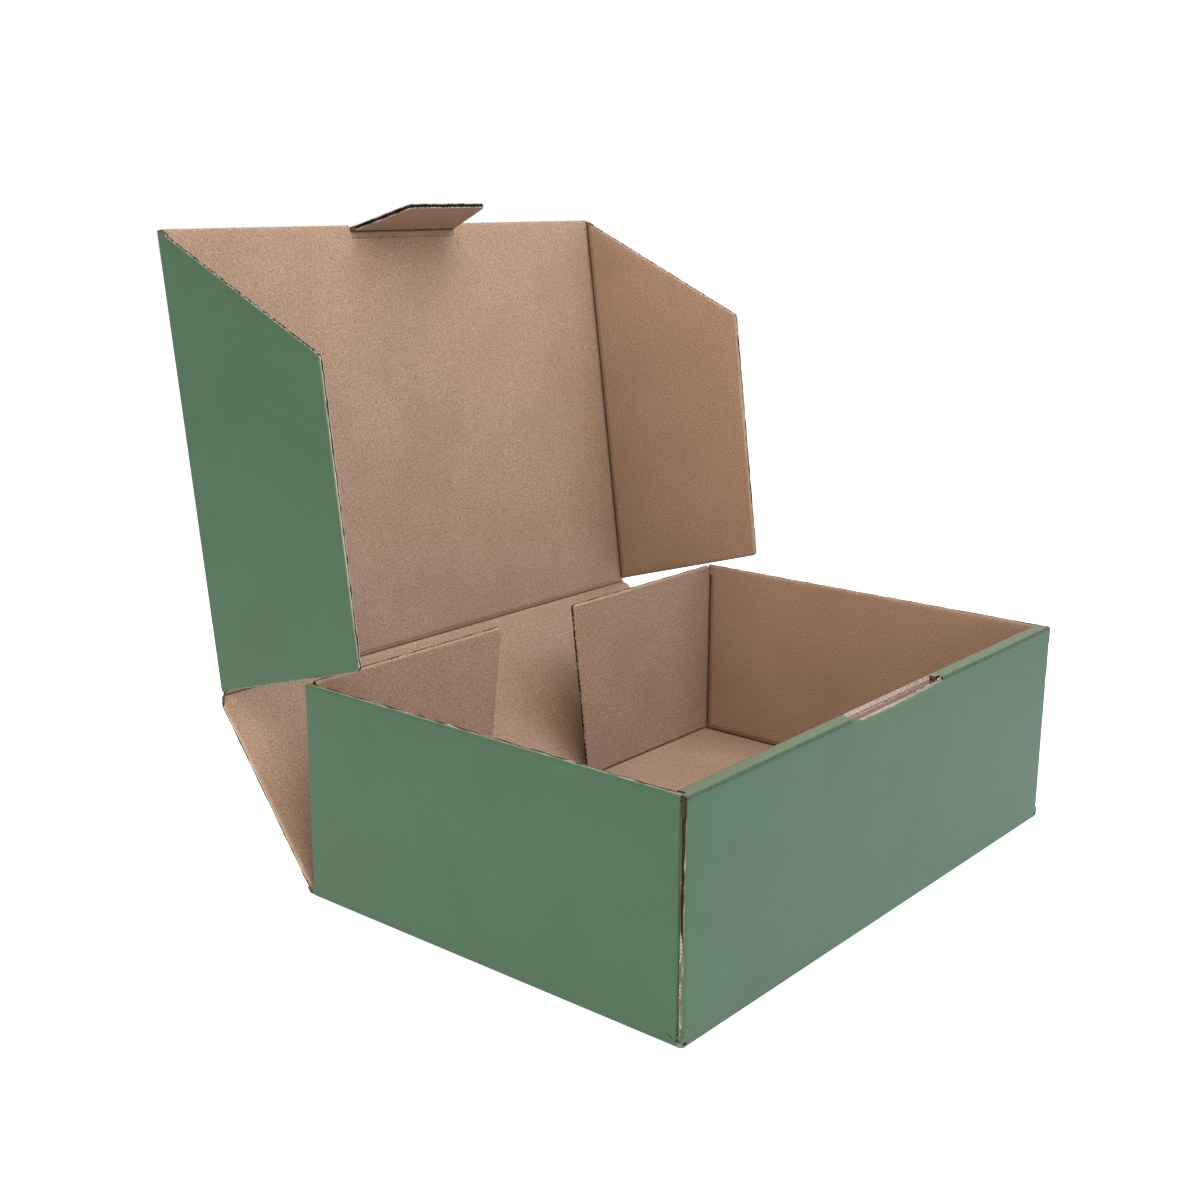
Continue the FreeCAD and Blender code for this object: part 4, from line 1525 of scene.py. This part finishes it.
    def base_folds(self) -> list[Fold | CrushedCorner]:
        """The folds from the floor to the front wall and to the side walls, and their corners.

        Returns:
            The folds and corners.
        """
        thick, reach, half = self.board.thick, self.board.reach, self.inner_half
        folds = [Fold(np.array((0.0, self.front, thick)), X, Flank(-Z, (-half, half), (1.0, -1.0)),
                      Flank(-Y, (-self.lip_half, self.lip_half)), rim=Stock.PRINT)]
        for side in (-1, 1):
            span = self.trap - thick + self.shy, -self.trap + thick - self.shy
            folds.append(Fold(np.array((side * half, 0.0, thick)), Y,
                              Flank(-Z, (self.front, -self.front - reach), (1.0, 0.0)),
                              Flank(side * X, span, (2.0, 0.0)), rim=Stock.PRINT))
            folds.append(CrushedCorner(np.array((side * half, self.front, thick)), side))
        return folds

    def trap_fold(self, side: int) -> Fold:
        """The upright fold from a side wall to its trapped flap.

        Args:
            side: -1 for the left, 1 for the right.

        Returns:
            The fold.
        """
        low, top = self.board.thick + 0.3 * self.board.reach, self.roll_base - self.gap
        # The arc is darkened: cracked ink with a painted shade where it turns away from the light.
        return Fold(np.array((side * self.inner_half, self.trap, 0.0)), Z,
                    Flank(side * X, (low, top), (0.7, 0.0)), Flank(-Y, (self.foot, top)), rub=-0.5)

    def build(self, kit: Kit) -> None:
        """Build every piece that rides on the tray.

        Args:
            kit: The shared kit.
        """
        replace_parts(kit.boards("tray_floor", "tray", [self.floor()], self.base_folds()), "tray")
        for side, word in SIDES:
            kit.boards(f"side_wall_{word}", "tray", [self.side_wall(side)])
            kit.boards(f"trapped_flap_{word}", "tray", [self.trapped_flap(side)],
                       [self.trap_fold(side)])
        kit.boards("front_wall", "tray", [self.outer_front()])
        kit.boards("inner_front_wall", "tray", [self.inner_front()])
        roll = Build()
        Roll(self.board, self.front, self.roll_rear, self.roll_base, self.skirt, self.lip_half,
             self.inner_half - self.play).add_to(roll)
        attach(kit.dress(roll, "front_roll"), "tray")


@dataclass(frozen=True)
class RearCorner:
    """Flap that turns in from a side wall behind the tray.

    `free_top` and `free_bottom` are its free edge's places from the middle, `relief` the notch
    in its top corner beside the crease, across and down, and `radius` its rounded corner's.
    """

    height: float
    low: float
    free_top: float = 31.0
    free_bottom: float = 46.5
    relief: tuple[float, float] = (2.6, 6.5)
    radius: float = 2.0

    def build(self, kit: Kit, side: int, word: str) -> None:
        """Build one flap and its crease.

        Args:
            kit: The shared kit.
            side: -1 for the left, 1 for the right.
            word: The side's name.
        """
        hinge, board = kit.hinges[f"corner_flap_{word}_hinge"], kit.board
        crease = abs(hinge.point[0])
        start, notch, top = crease - board.reach, self.height - self.relief[1], crease - self.relief[0]
        corners = [(self.low, -start, 0), (notch, -start, 0), (notch + 0.1, -top, 0),
                   (self.height, -top, 0), (self.height, -self.free_top, self.radius),
                   (self.low, -self.free_bottom, 0)]
        if side > 0:
            corners = [(a, -b, radius) for a, b, radius in reversed(corners)]
        free = Edge.HIGH if side < 0 else Edge.LOW
        panel = Panel(Place(np.array((0.0, hinge.point[1], 0.0)), Z, X, Y), Outline(tuple(corners)),
                      100.0 * side, raw=frozenset({Edge.FIRST, Edge.LAST, free}), seed=20 + side,
                      scuff=0.55, pinch=(0.85, 0.85), toothed=frozenset({free}), cell=TOOTHED_CELL)
        body = f"rear_corner_flap_{word}"
        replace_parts(kit.boards(f"corner_flap_{word}", body, [panel]), body)
        fold = Fold(hinge.point * (1, 1, 0), Z,
                    Flank(side * X, (board.thick + board.reach, notch)), Flank(Y, (self.low, notch)))
        kit.crease(f"crease_corner_{word}", hinge, fold)


@dataclass(frozen=True)
class RearWall:
    """Wall behind the tray that carries the lid.

    `chamfer` is how far its top corners are cut back, across and down. `foot_half` is half of its
    crease's length on the floor, and `lid_half` on the lid.
    """

    half_width: float = 174.7
    chamfer: tuple[float, float] = (3.0, 6.0)
    foot_half: float = 172.0
    lid_half: float = 170.2

    def build(self, kit: Kit) -> None:
        """Build the wall and the creases at its foot and head.

        Args:
            kit: The shared kit.
        """
        board, foot, head = kit.board, kit.hinges["rear_wall_hinge"], kit.hinges["lid_hinge"]
        along = unit(head.point - foot.point)
        outward = np.cross(along, X)
        length = float(np.linalg.norm(head.point - foot.point)) - board.reach
        across, rise = self.chamfer
        slope, half = across / rise, self.half_width
        knee = length + board.reach - rise
        top = half - slope * (length - knee)
        corners = ((-half, board.reach), (half, board.reach), (half, knee), (top, length),
                   (-top, length), (-half, knee))
        panel = Panel(Place(foot.point, X, along, outward), Outline.sharp(corners), 50.0,
                      raw=frozenset({Edge.FIRST, Edge.LAST}), seed=30, scuff=1.3, pinch=(0.85, 0.85))
        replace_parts(kit.boards("rear_wall_board", "rear_wall", [panel]), "rear_wall")
        kit.crease("crease_rear", foot, Fold(
            foot.point, X, Flank(-Z, (-self.foot_half, self.foot_half)), Flank(outward, (-half, half))))
        lid, edge = unit(kit.hinges["lid_flap_left_hinge"].axis), half - across
        kit.crease("crease_lid", head, Fold(
            head.point, X, Flank(outward, (-edge, edge), (-slope, slope)),
            Flank(np.cross(lid, X), (-self.lid_half, self.lid_half))))


@dataclass(frozen=True)
class Lid:
    """Lid with its two side flaps and its tuck tab.

    `flap_depths` are the left and the right flap's. `flap_low` and `flap_high` are the places of
    their slanted edges at the crease and at the free edge. `tab_half` is half of the tab's width
    at its crease and at its tip, `tab_fold` the angle that it is folded in by, and `notch` half of
    the width that is left free for it in the lid's edge.
    """

    length: float = 246.5
    flap_depths: tuple[float, float] = (112.3, 114.5)
    flap_low: tuple[float, float] = (2.0, 20.0)
    flap_high: tuple[float, float] = (245.1, 174.5)
    corner_radius: float = 3.0
    tab_length: float = 40.5
    tab_half: tuple[float, float] = (41.2, 29.8)
    tab_fold: float = 78.0
    notch: float = 42.4
    shy: float = 0.1

    def frame(self, kit: Kit) -> tuple[np.ndarray, np.ndarray]:
        """The lid's own direction from its hinge, and its printed face's direction."""
        along = unit(kit.hinges["lid_flap_left_hinge"].axis)
        return along, np.cross(along, X)

    def panel(self, kit: Kit) -> Panel:
        """The lid's flat board, with room for the tab's crease in its free edge.

        Args:
            kit: The shared kit.

        Returns:
            The panel.
        """
        reach, hinge = kit.board.reach, kit.hinges["lid_hinge"]
        along, outward = self.frame(kit)
        side = kit.hinges["lid_flap_right_hinge"].point[0] - reach
        tab = float(np.linalg.norm(kit.hinges["tuck_tab_hinge"].point - hinge.point))
        ledge, shelf = tab - self.shy, self.tab_half[0] + self.shy
        right = [(side, reach, 0), (side + 0.05, self.length, 0), (self.notch, self.length, 0),
                 (self.notch - 0.5, ledge, 0), (shelf + 0.05, ledge, 0), (shelf, tab - reach, 0)]
        left = [(-a, b, radius) for a, b, radius in reversed(right)]
        return Panel(Place(hinge.point, X, along, outward), Outline((*right, *left)), 100.0,
                     raw=frozenset({Edge.HIGH}), core=(-side + 0.2, side - 0.2), seed=50)

    def side_flap(self, kit: Kit, side: int, word: str) -> None:
        """Build one side flap and its crease.

        Args:
            kit: The shared kit.
            side: -1 for the left, 1 for the right.
            word: The side's name.
        """
        hinge, reach = kit.hinges[f"lid_flap_{word}_hinge"], kit.board.reach
        along, outward = self.frame(kit)
        depth, edges = self.flap_depths[side > 0], (self.flap_low, self.flap_high)
        slopes = tuple((edge[1] - edge[0]) / depth for edge in edges)
        low, high = (edge[0] + slope * reach for edge, slope in zip(edges, slopes))
        corners = ((reach, low, 0), (depth, self.flap_low[1], self.corner_radius),
                   (depth, self.flap_high[1], self.corner_radius), (reach, high, 0))
        panel = Panel(Place(hinge.point, -outward, along, side * X), Outline(corners), 100.0,
                      raw=frozenset({Edge.LOW, Edge.HIGH, Edge.LAST}), seed=60 + side, scuff=0.85,
                      pinch=(0.8, 0.8), toothed=frozenset({Edge.HIGH}), cell=TOOTHED_CELL)
        body = f"lid_flap_{word}"
        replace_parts(kit.boards(f"side_flap_{word}", body, [panel]), body)
        kit.crease(f"crease_flap_{word}", hinge, Fold(
            hinge.point, along, Flank(outward, (reach, self.length - self.shy)),
            Flank(side * X, (self.flap_low[0], self.flap_high[0]), slopes)))

    def tab(self, kit: Kit) -> None:
        """Build the tuck tab, which is folded in from the lid's free edge, and its crease.

        Args:
            kit: The shared kit.
        """
        hinge, reach = kit.hinges["tuck_tab_hinge"], kit.board.reach
        along, outward = self.frame(kit)
        turn = math.radians(self.tab_fold)
        down = math.cos(turn) * along - math.sin(turn) * outward
        face = math.sin(turn) * along + math.cos(turn) * outward
        wide, narrow = self.tab_half
        slope = (narrow - wide) / self.tab_length
        start, shoulder = wide + slope * reach, reach + 0.3
        right = [(start, reach, 0), (start, shoulder, 0), (narrow, self.tab_length, self.corner_radius)]
        left = [(-a, b, radius) for a, b, radius in reversed(right)]
        panel = Panel(Place(hinge.point, X, down, face), Outline((*right, *left)), reach + 0.15,
                      raw=frozenset({Edge.HIGH}), core=(-start + 1.0, start - 1.0), seed=70,
                      scuff=0.9, pinch=(0.25, 0.25), toothed=frozenset({Edge.HIGH}), cell=TOOTHED_CELL)
        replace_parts(kit.boards("tab_board", "tuck_tab", [panel]), "tuck_tab")
        kit.crease("crease_tab", hinge, Fold(
            hinge.point, X, Flank(outward, (-wide, wide)), Flank(face, (-wide, wide), (-slope, slope))))

    def build(self, kit: Kit) -> None:
        """Build the lid, its flaps and its tab.

        Args:
            kit: The shared kit.
        """
        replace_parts(kit.boards("lid_board", "lid", [self.panel(kit)]), "lid")
        for side, word in SIDES:
            self.side_flap(kit, side, word)
        self.tab(kit)


# ---------------------------------------------------------------- studio


@dataclass(frozen=True)
class Softbox:
    """A square area light that points at the box."""

    name: str
    place: tuple[float, float, float]
    size: float
    power: float
    colour: str = "#FFFFFF"


@dataclass(frozen=True)
class Studio:
    """Pale floor, soft light and the camera.

    The camera's `eye` is in millimetres and its turns are in degrees: `yaw` to the right of the
    y axis, `pitch` down and `roll`. `glow` is the floor's own light near the box and away from it,
    and `glow_reach`, in metres, where it starts and stops fading.
    """

    eye: tuple[float, float, float] = (-678.4, -492.2, 362.2)
    yaw: float = 50.365
    pitch: float = 14.496
    roll: float = 0.299
    lens: float = 48.218
    lights: tuple[Softbox, ...] = (
        Softbox("key_light", (0.4, -1.4, 2.0), 1.3, 30.0, "#C6E1FF"),
        Softbox("top_light", (0.2, -0.6, 2.3), 1.3, 17.5),
        Softbox("left_fill", (-2.3, -0.5, 0.4), 1.4, 28.0, "#FFF6E6"),
        Softbox("upper_left_light", (-1.1, -1.3, 1.9), 1.0, 21.0, "#FFF6E6"),
    )
    glow: tuple[float, float] = (1.1, 0.64)
    glow_reach: tuple[float, float] = (0.3, 1.2)
    floor_half: float = 6.0
    box_middle: tuple[float, float, float] = (0.0, 0.0, 0.12)

    def put(self, name: str, data: bpy.types.ID, turn: Sequence[np.ndarray],
            place: np.ndarray) -> bpy.types.Object:
        """Put a camera or a light in the scene.

        Args:
            name: Its name.
            data: The camera or light.
            turn: The directions of its own three axes.
            place: Where it stands, in metres.

        Returns:
            Its object.
        """
        thing = bpy.data.objects.new(name, data)
        matrix = np.eye(4)
        matrix[:3, :3] = np.column_stack(turn)
        matrix[:3, 3] = place
        thing.matrix_world = matrix.T.tolist()
        bpy.context.scene.collection.objects.link(thing)
        return thing

    def camera(self) -> None:
        """Set the scene's camera."""
        yaw, pitch, roll = (math.radians(v) for v in (self.yaw, self.pitch, self.roll))
        ahead = np.array((math.sin(yaw) * math.cos(pitch), math.cos(yaw) * math.cos(pitch),
                          -math.sin(pitch)))
        right = unit(np.cross(ahead, Z))
        above = np.cross(right, ahead)
        right, above = (math.cos(roll) * right + math.sin(roll) * above,
                        math.cos(roll) * above - math.sin(roll) * right)
        data = bpy.data.cameras.new("camera")
        data.lens, data.sensor_width = self.lens, 36.0
        data.clip_start, data.clip_end = 0.01, 50.0
        bpy.context.scene.camera = self.put("camera", data, (right, above, -ahead),
                                            np.array(self.eye) / METRE)

    def light(self, box: Softbox) -> None:
        """Add an area light that faces the middle of the box.

        Args:
            box: The light.
        """
        data = bpy.data.lights.new(box.name, "AREA")
        data.shape, data.size, data.energy = "SQUARE", box.size, box.power
        data.color = linear(box.colour)[:3]
        back = unit(np.array(box.place) - np.array(self.box_middle))
        right = unit(np.cross(Z, back))
        self.put(box.name, data, (right, np.cross(back, right), back), np.array(box.place))

    def world(self) -> None:
        """Give the scene an even white surround."""
        world = bpy.data.worlds.new("studio")
        world.use_nodes = True
        tree = world.node_tree
        tree.nodes.clear()
        sky = add(tree, "ShaderNodeBackground", {"Color": linear("#FFFFFF"), "Strength": 1.0})
        add(tree, "ShaderNodeOutputWorld", {"Surface": sky.outputs[0]})
        bpy.context.scene.world = world

    def floor(self) -> None:
        """Lay the pale studio floor, which glows round the box, so that shadows stay faint."""
        material, shader = new_material("matt_white_studio_floor")
        tree = material.node_tree
        place = add(tree, "ShaderNodeTexCoord").outputs["Object"]
        far = add(tree, "ShaderNodeVectorMath", {0: place}, operation="LENGTH").outputs["Value"]
        glow = {"Value": far, "From Min": self.glow_reach[0], "From Max": self.glow_reach[1],
                "To Min": self.glow[0], "To Max": self.glow[1]}
        fading = add(tree, "ShaderNodeMapRange", glow, interpolation_type="SMOOTHSTEP")
        tree.links.new(fading.outputs[0], shader.inputs["Emission Strength"])
        shader.inputs["Emission Color"].default_value = linear("#FFFFFF")
        shader.inputs["Base Color"].default_value = linear("#B4B5B6")
        shader.inputs["Roughness"].default_value = 0.9
        mesh = bpy.data.meshes.new("floor")
        half = self.floor_half
        corners = [(-half, -half, 0), (half, -half, 0), (half, half, 0), (-half, half, 0)]
        mesh.from_pydata(corners, [], [[0, 1, 2, 3]])
        mesh.materials.append(material)
        floor = bpy.data.objects.new("floor", mesh)
        bpy.context.scene.collection.objects.link(floor)

    def build(self) -> None:
        """Set up the whole studio."""
        self.camera()
        self.world()
        self.floor()
        for box in self.lights:
            self.light(box)
        bpy.context.scene.view_settings.view_transform = "Standard"


# ---------------------------------------------------------------- the scene


def model_hinges(frame: dict) -> dict[str, Hinge]:
    """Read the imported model's hinges.

    Args:
        frame: What the frame's load gives.

    Returns:
        Each hinge by its name.
    """
    return {
        joint["name"]: Hinge(np.array(joint["pos_m"]) * METRE, unit(np.array(joint["axis"], float)),
                             joint["parent"], joint["child"])
        for joint in frame["joints"]
    }


def main() -> None:
    """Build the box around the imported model."""
    logging.basicConfig(level=logging.INFO, format="%(name)s: %(message)s")
    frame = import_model()
    kit = Kit(papers(), FluteTree(), model_hinges(frame), Board())
    Studio().build()
    tray = Tray(board=kit.board)
    tray.build(kit)
    for side, word in SIDES:
        RearCorner(tray.height, tray.foot).build(kit, side, word)
    RearWall().build(kit)
    Lid().build(kit)
    bpy.context.view_layer.update()


if __name__ == "__main__":
    main()
